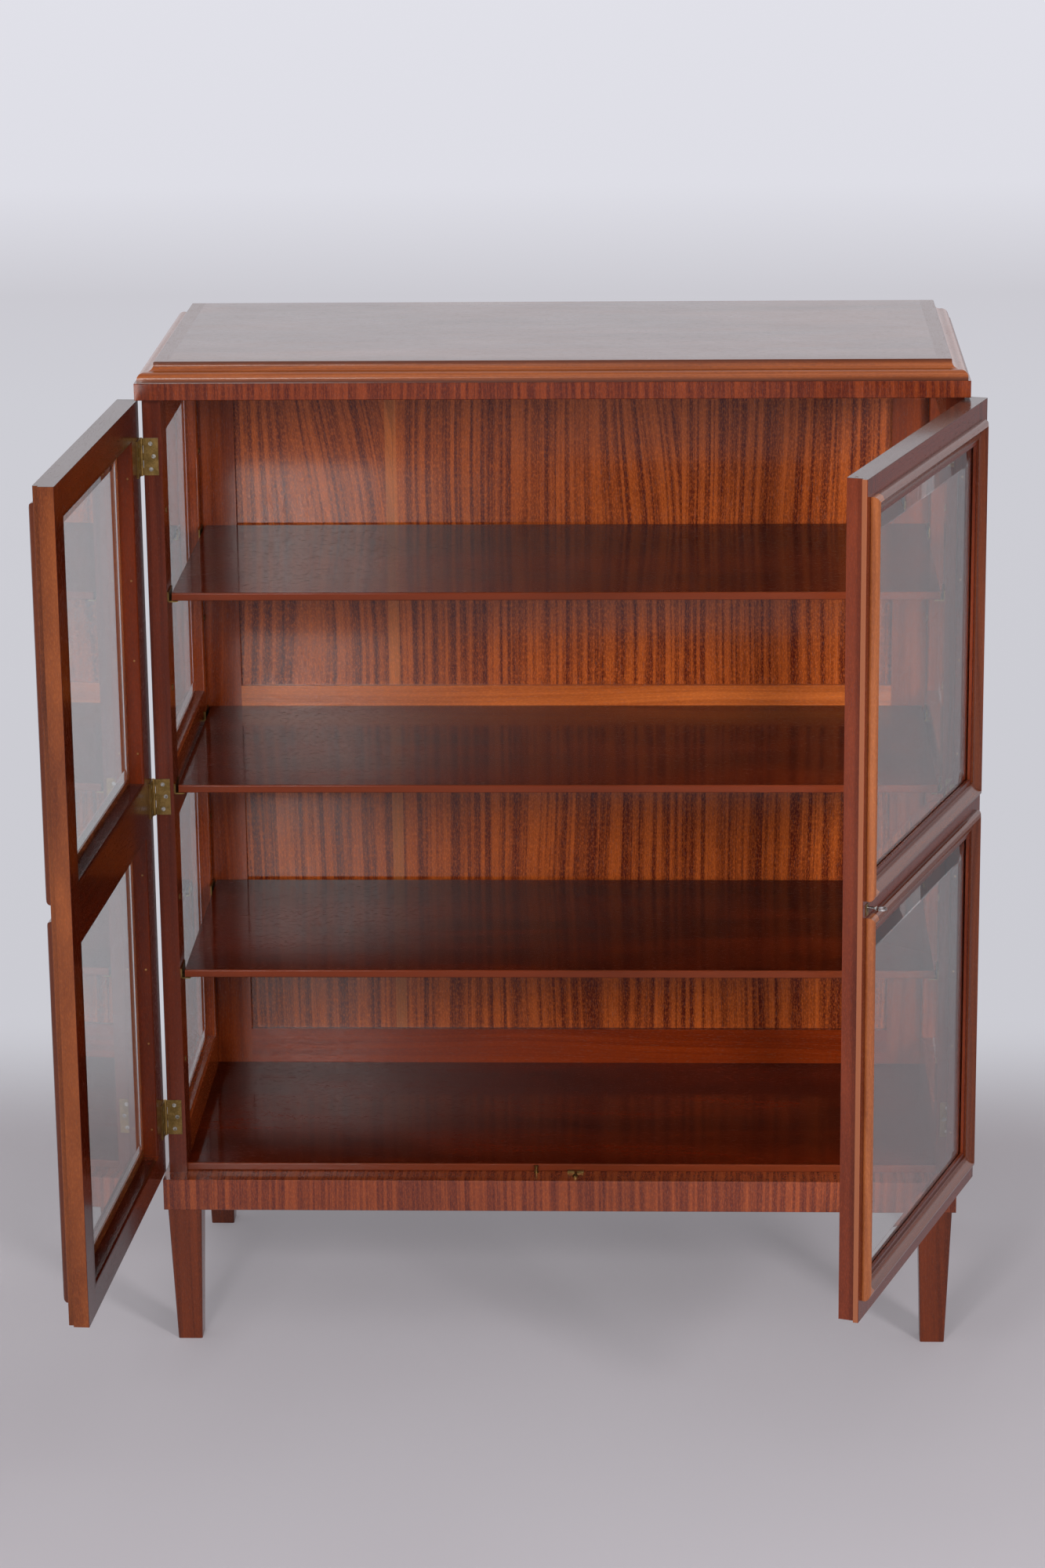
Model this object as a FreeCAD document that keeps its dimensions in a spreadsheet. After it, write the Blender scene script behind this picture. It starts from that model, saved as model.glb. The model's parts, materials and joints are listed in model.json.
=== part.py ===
import FreeCAD, Part
import math
import os

import Sketcher

# A glazed display cabinet on four tapered legs, millimetres, Z up.
# Cabinet frame: X across with 0 in the middle, Y back from the stile fronts, Z up from the floor.
# Door frames: X runs from the hinge axis to the free edge (minus X on the right door), Y back from
# the axis, Z up from the floor. Both doors stand open at rest.

os.makedirs("parts", exist_ok=True)
doc = FreeCAD.newDocument("display_cabinet")

DRIVING_SIZES = {
    # Carcass
    "body_width": 1084.0,
    "body_depth": 447.6,
    "leg_height": 195.7,
    "base_frieze_height": 44.6,
    "stile_height": 1094.7,
    "top_frieze_height": 22.4,
    "top_thickness": 24.9,
    "front_overhang": 29.5,
    "side_overhang": 5.8,
    "frieze_lap": 15.0,
    "arris": 0.9,
    # Legs
    "leg_top_width": 46.5,
    "leg_foot_width": 33.3,
    "leg_side_inset": 5.6,
    "leg_front_inset": 1.0,
    "leg_side_taper": 7.6,
    "leg_front_taper": 6.9,
    "leg_rounding": 1.6,
    # Moulding round the top
    "cornice_width": 40.0,
    "cornice_inset": 3.5,
    "cornice_fillet": 5.8,
    "cornice_ogee_width": 20.4,
    "cornice_ogee_height": 14.2,
    "cornice_ogee_bulge": 2.4,
    # Side frames
    "stile_face": 24.6,
    "front_stile_depth": 50.0,
    "rear_stile_depth": 38.6,
    "side_lip_width": 7.0,
    "side_lip_thickness": 5.6,
    "side_bottom_rail": 51.7,
    "side_mid_rail_rise": 509.7,
    "side_mid_rail": 69.0,
    "side_top_rail": 50.0,
    "bead_rounding": 4.0,
    # Back
    "back_thickness": 26.0,
    "back_stile_width": 50.0,
    "back_bottom_rail": 62.7,
    "back_mid_rail_rise": 524.7,
    "back_mid_rail": 63.1,
    "back_top_rail": 45.0,
    "panel_recess": 8.0,
    "panel_thickness": 6.0,
    "panel_tuck": 8.0,
    # Glass
    "glass_thickness": 4.0,
    "glass_edge": 2.2,
    "side_glass_bevel": 25.0,
    "door_glass_bevel": 32.0,
    "glass_clearance": 0.5,
    # Shelves and what carries them
    "board_thickness": 10.8,
    "board_arris": 1.8,
    "board_setback": 7.7,
    "board_side_gap": 5.6,
    "board_back_gap": 0.6,
    "shelf_upper_rise": 826.0,
    "shelf_middle_rise": 558.2,
    "shelf_lower_rise": 294.1,
    "clip_length": 40.0,
    "clip_thickness": 1.6,
    "clip_foot": 13.0,
    "clip_height": 14.0,
    "clip_front": 8.0,
    "clip_seat": 0.3,
    "clip_peg_radius": 2.0,
    "clip_peg_length": 8.0,
    "peg_clearance": 0.05,
    "socket_flange_radius": 4.5,
    "socket_flange": 0.8,
    "socket_radius": 3.0,
    "socket_bore": 2.05,
    "socket_length": 9.0,
    "socket_setback": 28.0,
    # Doors
    "left_open_angle": 93.4,
    "right_open_angle": 70.9,
    "door_thickness": 27.5,
    "door_gap_low": 4.2,
    "door_gap_high": 2.8,
    "left_door_reach": 549.9,
    "hinge_edge_gap": 3.7,
    "meeting_gap": 1.7,
    "rebate_step": 5.3,
    "rebate_depth": 6.8,
    "rebate_clearance": 0.5,
    "hinge_margin": 24.0,
    "free_margin": 15.5,
    "end_margin": 24.5,
    "mid_flat": 22.0,
    "sight_margin": 28.0,
    "lip_thickness": 4.0,
    "stile_rabbet": 8.5,
    "rail_rabbet": 9.2,
    "bottom_rabbet": 17.4,
    "mid_rabbet": 12.9,
    "mid_rail_drop": 7.0,
    "glass_groove": 5.0,
    "stile_bead": 11.0,
    "rail_bead": 5.5,
    "door_bead_rounding": 3.0,
    # Moulding round the panes
    "moulding_width": 22.0,
    "moulding_height": 10.3,
    "moulding_crest": 7.0,
    "moulding_shoulder": 3.0,
    "moulding_shoulder_height": 8.9,
    "moulding_edge": 1.8,
    "moulding_fillet": 1.8,
    "moulding_hollow": 1.5,
    "moulding_round": 1.6,
    # Bead pins
    "bead_pin_radius": 0.7,
    "bead_pin_head": 1.3,
    "bead_pin_proud": 0.5,
    "bead_pin_depth": 9.0,
    "bead_pin_setback": 7.0,
    # Hinges
    "hinge_height": 50.0,
    "hinge_low_rise": 56.8,
    "hinge_middle_rise": 519.3,
    "hinge_high_rise": 989.0,
    "leaf_thickness": 1.4,
    "leaf_gap": 0.2,
    "leaf_width": 19.9,
    "knuckle_radius": 2.5,
    "knuckle_gap": 0.2,
    "neck_gap": 0.3,
    "hinge_pin_radius": 1.0,
    "hinge_pin_clearance": 0.06,
    "pin_cap_radius": 1.9,
    "pin_cap_height": 0.8,
    "screw_head_radius": 2.9,
    "screw_radius": 1.2,
    "screw_length": 9.0,
    "screw_clearance": 0.05,
    # Lock, bolts and strikes
    "lock_backset": 17.2,
    "keyhole_rise": 3.15,
    "lock_depth": 10.0,
    "lock_case_width": 19.0,
    "lock_case_height": 62.0,
    "lock_case_wall": 1.2,
    "lock_case_depth": 15.6,
    "lock_plate": 1.6,
    "lock_plate_margin": 4.0,
    "mortise_clearance": 0.1,
    "hub_radius": 2.9,
    "hub_flange_radius": 4.5,
    "hub_flange": 1.5,
    "hub_gap": 0.1,
    "pivot_radius": 1.8,
    "pivot_floor": 1.0,
    "pivot_set_in": 0.3,
    "bolt_radius": 2.2,
    "bolt_clearance": 0.07,
    "bolt_travel": 6.3,
    "lower_bolt_offset": 4.0,
    "upper_bolt_offset": 4.4,
    "bolt_tail_width": 2.4,
    "bolt_tail_thickness": 5.0,
    "bolt_tail_gap": 1.2,
    "bolt_tail_lap": 2.0,
    "bolt_tail_pass": 9.0,
    "bolt_set_in": 0.5,
    "key_shank_radius": 1.7,
    "key_shank_length": 11.0,
    "key_collar_radius": 2.9,
    "key_collar_height": 1.6,
    "key_bow_radius": 6.6,
    "key_bow_thickness": 2.4,
    "key_bow_web": 2.6,
    "key_bit_thickness": 1.2,
    "key_bit_reach": 4.0,
    "key_clearance": 0.06,
    "escutcheon_width": 9.5,
    "escutcheon_height": 15.4,
    "escutcheon_thickness": 0.8,
    "keyhole_radius": 2.1,
    "keyhole_slot": 1.5,
    "keyhole_drop": 5.5,
    "stop_peg_inset": 36.9,
    "stop_peg_radius": 2.1,
    "stop_peg_head": 3.1,
    "stop_peg_foot": 3.6,
    "stop_peg_height": 10.0,
    "stop_peg_flange": 1.0,
    "stop_peg_cap": 2.2,
    "strike_width": 22.0,
    "strike_depth": 6.0,
    "strike_thickness": 3.0,
    "strike_tongue": 3.2,
    "strike_boss_radius": 3.8,
    "strike_clearance": 0.5,
    "upper_strike_thickness": 1.4,
    "bolt_hole_depth": 12.0,
}

sheet = doc.addObject("Spreadsheet::Sheet", "Sizes")
for row, (alias, number) in enumerate(DRIVING_SIZES.items(), start=1):
    sheet.set(f"A{row}", alias)
    sheet.set(f"B{row}", str(number))
    sheet.setAlias(f"B{row}", alias)
doc.recompute()


class Size:
    """A length or angle, with the expression that works it out from the sheet."""

    def __init__(self, value, text):
        self.value = value
        self.text = text

    def __add__(self, other):
        other = as_size(other)
        return Size(self.value + other.value, f"({self.text} + {other.text})")

    def __sub__(self, other):
        other = as_size(other)
        return Size(self.value - other.value, f"({self.text} - {other.text})")

    def __mul__(self, other):
        other = as_size(other)
        return Size(self.value * other.value, f"({self.text} * {other.text})")

    def __truediv__(self, other):
        other = as_size(other)
        return Size(self.value / other.value, f"({self.text} / {other.text})")

    def __radd__(self, other):
        return as_size(other) + self

    def __rsub__(self, other):
        return as_size(other) - self

    def __rmul__(self, other):
        return as_size(other) * self

    def __neg__(self):
        return Size(-self.value, f"(-{self.text})")

    def cos(self):
        return Size(math.cos(math.radians(self.value)), f"cos({self.text} * 1 deg)")

    def sqrt(self):
        return Size(math.sqrt(self.value), f"sqrt({self.text})")

    def sin(self):
        return Size(math.sin(math.radians(self.value)), f"sin({self.text} * 1 deg)")


def as_size(number):
    if isinstance(number, Size):
        return number
    return Size(number, repr(number) if number >= 0 else f"({number!r})")


class Sizes:
    """Every cell of the sheet as a Size, under its alias."""

    def __getattr__(self, alias):
        return Size(float(sheet.get(alias)), f"Sizes.{alias}")


s = Sizes()
ZERO = as_size(0)
PLANES = {"X": "YZ_Plane", "Y": "XZ_Plane", "Z": "XY_Plane"}
X_AXIS = FreeCAD.Vector(1, 0, 0)
Y_AXIS = FreeCAD.Vector(0, 1, 0)
Z_AXIS = FreeCAD.Vector(0, 0, 1)
round_bulge_share = 0.29

# Derived levels and places, cabinet frame
half_body = s.body_width / 2
half_inner = half_body - s.stile_face
half_frieze = half_body + s.side_overhang
base_top = s.leg_height + s.base_frieze_height
stile_top = base_top + s.stile_height
frieze_top = stile_top + s.top_frieze_height
cabinet_top = frieze_top + s.top_thickness
back_face = s.body_depth - s.back_thickness
rear_stile_front = s.body_depth - s.rear_stile_depth
board_half = half_inner - s.board_side_gap
shelf_rises = {
    "shelf_upper": s.shelf_upper_rise,
    "shelf_middle": s.shelf_middle_rise,
    "shelf_lower": s.shelf_lower_rise,
}
shelf_tops = {label: base_top + rise for label, rise in shelf_rises.items()}

# Hinge axes and door levels
axis_x = half_body + s.knuckle_radius
axis_y = -(s.leaf_thickness + s.leaf_gap / 2)
door_low = base_top + s.door_gap_low
door_high = stile_top - s.door_gap_high
door_face = -(s.leaf_gap / 2 + s.leaf_thickness)
door_front = door_face - s.door_thickness
right_door_reach = 2 * axis_x - s.left_door_reach - s.meeting_gap
rebate_face = door_front + s.rebate_depth
lip_back = door_front + s.lip_thickness
glass_back = lip_back + s.glass_thickness
lock_reach = right_door_reach + s.rebate_step - s.lock_backset
lower_bolt_reach = lock_reach - s.lower_bolt_offset
upper_bolt_reach = lock_reach + s.upper_bolt_offset

# The cabinet stands off centre, so that the whole model with its open doors is centred on the origin.
crest_out = s.moulding_height - door_front
corner_out = -door_front
left_crest = s.left_door_reach - s.rebate_step - s.free_margin - s.moulding_crest
left_side_reach = axis_x - left_crest * s.left_open_angle.cos() + crest_out * s.left_open_angle.sin()
right_side_reach = axis_x - s.hinge_edge_gap * s.right_open_angle.cos() + corner_out * s.right_open_angle.sin()
front_reach = s.left_door_reach * s.left_open_angle.sin() - axis_y
shift_x = (left_side_reach - right_side_reach) / 2
shift_y = (front_reach - s.body_depth) / 2

nodes = []


def vector(x, y, z):
    return FreeCAD.Vector(as_size(x).value, as_size(y).value, as_size(z).value)


def at(piece, x=ZERO, y=ZERO, z=ZERO, rotation=None):
    """Puts a piece at a point of its own frame, bound to the sheet."""
    piece.Placement = FreeCAD.Placement(vector(x, y, z), rotation or FreeCAD.Rotation())
    for axis, place in (("x", x), ("y", y), ("z", z)):
        piece.setExpression(f"Placement.Base.{axis}", as_size(place).text)
    return piece


class Frame:
    """A placing frame: an origin and a turn about Z."""

    def __init__(self, x, y, angle):
        self.x = x
        self.y = y
        self.angle = angle

    def place(self, piece, x=ZERO, y=ZERO, z=ZERO):
        turned_x = self.x + x * self.angle.cos() - y * self.angle.sin()
        turned_y = self.y + x * self.angle.sin() + y * self.angle.cos()
        at(piece, turned_x, turned_y, z, FreeCAD.Rotation(Z_AXIS, self.angle.value))
        piece.setExpression("Placement.Rotation.Angle", f"{self.angle.text} * 1 deg")


CABINET = Frame(shift_x, shift_y, ZERO)
LEFT = Frame(shift_x - axis_x, shift_y + axis_y, -s.left_open_angle)
RIGHT = Frame(shift_x + axis_x, shift_y + axis_y, s.right_open_angle)


def node(label, piece, frame, x=ZERO, y=ZERO, z=ZERO):
    """Names a finished sub-part and stands it in its frame."""
    piece.Label = label
    frame.place(piece, x, y, z)
    nodes.append(piece)
    return piece


def box(x0, x1, y0, y1, z0, z1, name="Block"):
    """A plain block between three pairs of planes."""
    block = doc.addObject("Part::Box", name)
    for side, low, high in (("Length", x0, x1), ("Width", y0, y1), ("Height", z0, z1)):
        block.setExpression(side, (as_size(high) - low).text)
    return at(block, as_size(x0), as_size(y0), as_size(z0))


def board(label, frame, x0, x1, y0, y1, z0, z1):
    """A plain board that is a sub-part by itself."""
    return node(label, box(x0, x1, y0, y1, z0, z1, "Board"), frame, as_size(x0), as_size(y0), as_size(z0))


def cylinder(radius, length, x, y, z, rotation=None, name="Round"):
    rod = doc.addObject("Part::Cylinder", name)
    rod.setExpression("Radius", as_size(radius).text)
    rod.setExpression("Height", as_size(length).text)
    return at(rod, as_size(x), as_size(y), as_size(z), rotation)


def cone(low_radius, high_radius, length, x, y, z, rotation=None, name="Taper"):
    taper = doc.addObject("Part::Cone", name)
    taper.setExpression("Radius1", as_size(low_radius).text)
    taper.setExpression("Radius2", as_size(high_radius).text)
    taper.setExpression("Height", as_size(length).text)
    return at(taper, as_size(x), as_size(y), as_size(z), rotation)


def group(pieces, name="Set"):
    """Separate solids kept side by side in one sub-part."""
    together = doc.addObject("Part::Compound", name)
    together.Links = pieces
    return together


def fuse(pieces, name="Joined"):
    joined = doc.addObject("Part::MultiFuse", name)
    joined.Shapes = pieces
    joined.Refine = True
    return joined


def cut(piece, tools, name="Worked"):
    worked = doc.addObject("Part::Cut", name)
    worked.Base = piece
    worked.Tool = tools[0] if len(tools) == 1 else group(tools, "Cutters")
    worked.Refine = True
    return worked


def origin_plane(body, role):
    return next(plane for plane in body.Origin.OriginFeatures if plane.Role == role)


def arc_between(start, end, bulge):
    """The anticlockwise arc between two points that stands out by bulge, right of start to end if positive."""
    chord = end.sub(start)
    pull = chord.Length / (8 * bulge) - bulge / (2 * chord.Length)
    middle = start.add(end).multiply(0.5)
    centre = middle.sub(FreeCAD.Vector(chord.y, -chord.x, 0).multiply(pull))
    first, last = (start, end) if bulge > 0 else (end, start)
    turn_first = math.atan2(first.y - centre.y, first.x - centre.x)
    turn_last = math.atan2(last.y - centre.y, last.x - centre.x)
    if turn_last < turn_first:
        turn_last += 2 * math.pi
    circle = Part.Circle(centre, Z_AXIS, centre.distanceToPoint(first))
    return Part.ArcOfCircle(circle, turn_first, turn_last)


def sketch(body, plane, outline, offset=ZERO):
    """A closed outline. A point is (x, y) or (x, y, bulge) where an arc leaves it."""
    drawing = body.newObject("Sketcher::SketchObject", "Outline")
    drawing.AttachmentSupport = [(plane, "")]
    drawing.MapMode = "FlatFace"
    drawing.setExpression("AttachmentOffset.Base.z", as_size(offset).text)
    corners = [FreeCAD.Vector(as_size(p[0]).value, as_size(p[1]).value, 0) for p in outline]
    ends = []
    for index, point in enumerate(outline):
        here = corners[index]
        there = corners[(index + 1) % len(outline)]
        if len(point) == 3:
            bulge = as_size(point[2]).value
            drawing.addGeometry(arc_between(here, there, bulge), False)
            ends.append((1, 2) if bulge > 0 else (2, 1))
        else:
            drawing.addGeometry(Part.LineSegment(here, there), False)
            ends.append((1, 2))
    for index in range(len(outline)):
        after = (index + 1) % len(outline)
        drawing.addConstraint(Sketcher.Constraint("Coincident", index, ends[index][1], after, ends[after][0]))
    for index, point in enumerate(outline):
        first = ends[index][0]
        for kind, place in (("DistanceX", as_size(point[0])), ("DistanceY", as_size(point[1]))):
            bound = drawing.addConstraint(Sketcher.Constraint(kind, -1, 1, index, first, place.value))
            drawing.setExpression(f"Constraints[{bound}]", place.text)
        if len(point) == 3:
            there = outline[(index + 1) % len(outline)]
            run = as_size(there[0]) - point[0]
            rise = as_size(there[1]) - point[1]
            chord = (run * run + rise * rise).sqrt()
            pull = chord / (8 * point[2]) - point[2] / (2 * chord)
            if abs(rise.value) > abs(run.value):
                kind, centre = "DistanceX", (as_size(point[0]) + there[0]) / 2 - rise * pull
            else:
                kind, centre = "DistanceY", (as_size(point[1]) + there[1]) / 2 + run * pull
            bound = drawing.addConstraint(Sketcher.Constraint(kind, -1, 1, index, 3, centre.value))
            drawing.setExpression(f"Constraints[{bound}]", centre.text)
    return drawing


def prism(run, outline, start, end, name="Section"):
    """A solid of one section along X, Y or Z, from start to end."""
    body = doc.addObject("PartDesign::Body", name)
    offset = -as_size(end) if run == "Y" else as_size(start)
    drawing = sketch(body, origin_plane(body, PLANES[run]), outline, offset)
    pad = body.newObject("PartDesign::Pad", "Pad")
    pad.Profile = drawing
    pad.setExpression("Length", (as_size(end) - start).text)
    return body


def pocket_through(body, role, outline):
    """Cuts an outline right through a body, both ways from an origin plane."""
    drawing = sketch(body, origin_plane(body, role), outline)
    pocket = body.newObject("PartDesign::Pocket", "Through")
    pocket.Profile = drawing
    pocket.Type = "ThroughAll"
    pocket.Midplane = True
    return pocket


def eased(x0, x1, y0, y1, sides="xXyY", ease=s.arris):
    """A rectangle with its corners eased where both of their sides are named."""
    outline = []
    for x, y, first, second, flat_first in (
        (x0, y0, "x", "y", True),
        (x1, y0, "X", "y", False),
        (x1, y1, "X", "Y", True),
        (x0, y1, "x", "Y", False),
    ):
        inward_x = ease if first == "x" else -ease
        inward_y = ease if second == "y" else -ease
        if first in sides and second in sides:
            along_y = (x, y + inward_y)
            along_x = (x + inward_x, y)
            outline += [along_y, along_x] if flat_first else [along_x, along_y]
        else:
            outline.append((x, y))
    return outline


def strip(section, width, length, start_run, end_run):
    """A moulding strip along X from its outer foot, mitred where a run is given."""
    body = prism("X", section, ZERO, length, "Strip")
    for run, corner, inner in ((start_run, ZERO, start_run), (end_run, length, length - end_run)):
        if run.value > 0:
            pocket_through(body, "XY_Plane", [(corner, ZERO), (inner, width), (corner, width)])
    return body


def strip_frame(normal, quarter_turns):
    """The turn that lays a strip along one side of a rectangle that faces along a normal."""
    lay = {
        "-Y": FreeCAD.Rotation(X_AXIS, 90),
        "+Y": FreeCAD.Rotation(Z_AXIS, 180).multiply(FreeCAD.Rotation(X_AXIS, 90)),
        "+X": FreeCAD.Rotation(Z_AXIS, 90).multiply(FreeCAD.Rotation(X_AXIS, 90)),
        "-X": FreeCAD.Rotation(Z_AXIS, -90).multiply(FreeCAD.Rotation(X_AXIS, 90)),
    }[normal]
    out = lay.multVec(Z_AXIS)
    return FreeCAD.Rotation(out, 90 * quarter_turns).multiply(lay)


def ring(normal, plane, low, high, z0, z1, flat_section, flat_width, upright_section, upright_width, topped=True):
    """Mitred strips round a rectangle on a plane, with or without its top one. Low and high are its ends."""
    along_x = normal in ("-Y", "+Y")
    first, last = (low, high) if normal in ("-Y", "+X") else (high, low)
    span = as_size(high) - low
    height = as_size(z1) - z0
    places = [(first, z0), (last, z0), (last, z1), (first, z1)]
    top_run = flat_width if topped else ZERO
    makers = [
        lambda: strip(flat_section, flat_width, span, upright_width, upright_width),
        lambda: strip(upright_section, upright_width, height, flat_width, top_run),
        lambda: strip(flat_section, flat_width, span, upright_width, upright_width),
        lambda: strip(upright_section, upright_width, height, top_run, flat_width),
    ]
    strips = []
    for side, ((place, z), make) in enumerate(zip(places, makers)):
        if side == 2 and not topped:
            continue
        x, y = (place, plane) if along_x else (plane, place)
        strips.append(at(make(), as_size(x), as_size(y), as_size(z), strip_frame(normal, side)))
    return strips


def mirrored_pair(make):
    """The left and right copies of a piece, made with the sign of their side."""
    return [make(-1), make(1)]


def spans(sign, near, far):
    """An interval on one side of the middle, lowest value first."""
    return (near, far) if sign > 0 else (-as_size(far), -as_size(near))


# Top: board, mitred ogee moulding on three sides, frieze and the carcass top behind it


def ogee_section():
    """The cornice section: t runs in from the outer foot, h up from the frieze."""
    shoulder = s.cornice_ogee_width
    top_flat = s.cornice_fillet + s.cornice_ogee_height
    half_run = shoulder / 2
    half_rise = s.cornice_ogee_height / 2
    return [
        (ZERO, ZERO),
        (s.cornice_width, ZERO),
        (s.cornice_width, s.top_thickness),
        (shoulder + s.arris, s.top_thickness),
        (shoulder, s.top_thickness - s.arris),
        (shoulder, top_flat, -s.cornice_ogee_bulge),
        (half_run, s.cornice_fillet + half_rise, s.cornice_ogee_bulge),
        (ZERO, s.cornice_fillet),
    ]


def make_top():
    reach = half_frieze - s.cornice_inset
    front = -(s.front_overhang - s.cornice_inset)
    inner_half = reach - s.cornice_width
    inner_front = front + s.cornice_width
    board("top_board", CABINET, -inner_half, inner_half, inner_front, s.body_depth, frieze_top, cabinet_top)
    section = ogee_section()
    width = s.cornice_width
    front_strip = strip(section, width, 2 * reach, width, width)
    node("cornice_front", front_strip, CABINET, -reach, front, frieze_top)
    side_length = s.body_depth - front
    right = strip(section, width, side_length, width, ZERO)
    at(right, reach, front, frieze_top, FreeCAD.Rotation(Z_AXIS, 90))
    left = strip(section, width, side_length, ZERO, width)
    at(left, -reach, s.body_depth, frieze_top, FreeCAD.Rotation(Z_AXIS, -90))
    node("cornice_sides", group([left, right]), CABINET)


def make_friezes(prefix, low, high, bored_at):
    """The front frieze with a bolt hole, and the two side friezes behind it."""
    outline = eased(-s.front_overhang, s.frieze_lap, low, high, "xyY")
    front = prism("X", outline, -half_frieze, half_frieze, "Frieze")
    node(f"{prefix}_frieze_front", cut(front, [bored_at]), CABINET)

    def side(sign):
        x0, x1 = spans(sign, half_inner, half_frieze)
        outer = "xyY" if sign < 0 else "XyY"
        return prism("Y", eased(x0, x1, low, high, outer), s.frieze_lap, s.body_depth, "Frieze")

    node(f"{prefix}_frieze_sides", group(mirrored_pair(side)), CABINET)


def bolt_hole(reach, low):
    """The hole that a bolt shoots into, on the bolt's line when the right door is shut."""
    x = axis_x - reach
    y = axis_y + door_face - s.lock_depth
    return cylinder(s.bolt_radius + s.strike_clearance, s.bolt_hole_depth, x, y, low)


def make_carcass():
    make_friezes("top", stile_top, frieze_top, bolt_hole(upper_bolt_reach, stile_top))
    board("carcass_top", CABINET, -half_inner, half_inner, s.frieze_lap, s.body_depth, stile_top, frieze_top)
    bottom_hole = bolt_hole(lower_bolt_reach, base_top - s.bolt_hole_depth)
    make_friezes("base", s.leg_height, base_top, bottom_hole)
    rail_front = s.body_depth - s.rear_stile_depth
    board("base_rail_back", CABINET, -half_inner, half_inner, rail_front, s.body_depth, s.leg_height, base_top)


def rounded_front(front, back, low, high):
    """A board's section with its two front arrises rounded over."""
    ease = s.board_arris
    bulge = ease * round_bulge_share
    return [
        (back, low),
        (back, high),
        (front + ease, high, bulge),
        (front, high - ease),
        (front, low + ease, bulge),
        (front + ease, low),
    ]


def make_boards():
    """The bottom board and the three loose shelves."""
    back = back_face - s.board_back_gap
    boards = [("bottom_board", base_top + s.board_thickness, half_inner)]
    boards += [(label, top, board_half) for label, top in shelf_tops.items()]
    for label, top, half in boards:
        section = rounded_front(s.board_setback, back, top - s.board_thickness, top)
        node(label, prism("X", section, -half, half, "Board"), CABINET)


# Legs: square at the top and drawn in on their outer faces


def leg(sign, front_leg):
    body = doc.addObject("PartDesign::Body", "Leg")
    outer = half_frieze - s.leg_side_inset
    low_outer = outer - s.leg_side_taper
    if front_leg:
        top_y0 = -(s.front_overhang - s.leg_front_inset)
        top_y1 = top_y0 + s.leg_top_width
        foot_y0 = top_y0 + s.leg_front_taper
        foot_y1 = foot_y0 + s.leg_foot_width
    else:
        top_y1 = s.body_depth - s.leg_front_inset
        top_y0 = top_y1 - s.leg_top_width
        foot_y1 = top_y1 - s.leg_front_taper
        foot_y0 = foot_y1 - s.leg_foot_width
    foot_x = spans(sign, low_outer - s.leg_foot_width, low_outer)
    top_x = spans(sign, outer - s.leg_top_width, outer)
    plane = origin_plane(body, "XY_Plane")
    foot = sketch(body, plane, eased(*foot_x, foot_y0, foot_y1, ease=s.leg_rounding))
    top = sketch(body, plane, eased(*top_x, top_y0, top_y1, ease=s.leg_rounding), s.leg_height)
    loft = body.newObject("PartDesign::AdditiveLoft", "Taper")
    loft.Profile = foot
    loft.Sections = [top]
    loft.Ruled = True
    return body


def make_legs():
    for label, front_leg in (("front_legs", True), ("rear_legs", False)):
        node(label, group(mirrored_pair(lambda sign: leg(sign, front_leg))), CABINET)


# Side frames: rabbeted stiles and rails with bevelled glass held by beads

side_glass_in = half_body - s.side_lip_thickness - s.glass_thickness
side_lip_in = half_body - s.side_lip_thickness
side_sight_front = s.front_stile_depth + s.side_lip_width
side_sight_back = rear_stile_front - s.side_lip_width
side_mid_low = base_top + s.side_mid_rail_rise
side_panes = [
    (base_top + s.side_bottom_rail, side_mid_low),
    (side_mid_low + s.side_mid_rail, stile_top - s.side_top_rail),
]
clip_levels = [top - s.board_thickness - s.clip_seat for top in shelf_tops.values()]
socket_level_shares = (0.855, 0.631, 0.3597, 0.144)
socket_levels = [base_top + s.stile_height * share for share in socket_level_shares]
clip_peg_setback = s.clip_front + s.clip_length / 2
rear_clip_back = back_face - s.clip_seat
rear_clip_peg = rear_clip_back - s.clip_foot / 2
rear_socket_y = (rear_stile_front + back_face) / 2
hinge_lows = [base_top + rise for rise in (s.hinge_low_rise, s.hinge_middle_rise, s.hinge_high_rise)]
hinge_screw_shares = ((0.5, 0.16), (0.69, 0.51), (0.5, 0.85))


def facing_in(sign):
    """The turn that points a cylinder from a stile's inner face into the wood."""
    return FreeCAD.Rotation(Y_AXIS, 90 * sign)


def side_bores(sign, peg_y, socket_y):
    """The bores in a stile for its shelf clips' pegs and its sockets."""
    face = sign * half_inner
    bores = [
        cylinder(
            s.clip_peg_radius + s.peg_clearance, s.clip_peg_length + s.peg_clearance, face, peg_y,
            level + s.clip_height / 2, facing_in(sign)
        )
        for level in clip_levels
    ]
    bores += [
        cylinder(
            s.socket_radius + s.peg_clearance, s.socket_length + s.peg_clearance, face, socket_y, level,
            facing_in(sign)
        )
        for level in socket_levels
    ]
    return bores


def pane_rabbets(sign, y0, y1):
    """The rabbets that hold the two panes, from the inner face out to the lip."""
    x0, x1 = spans(sign, half_inner, side_lip_in)
    return [box(x0, x1, y0, y1, low, high) for low, high in side_panes]


def hinge_screw_places():
    """Offsets of a hinge's screws from the leaf's outer edge and its bottom."""
    return [(s.leaf_width * across, s.hinge_height * up) for across, up in hinge_screw_shares]


def screw_places():
    return [(aside, low + up) for low in hinge_lows for aside, up in hinge_screw_places()]


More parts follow.
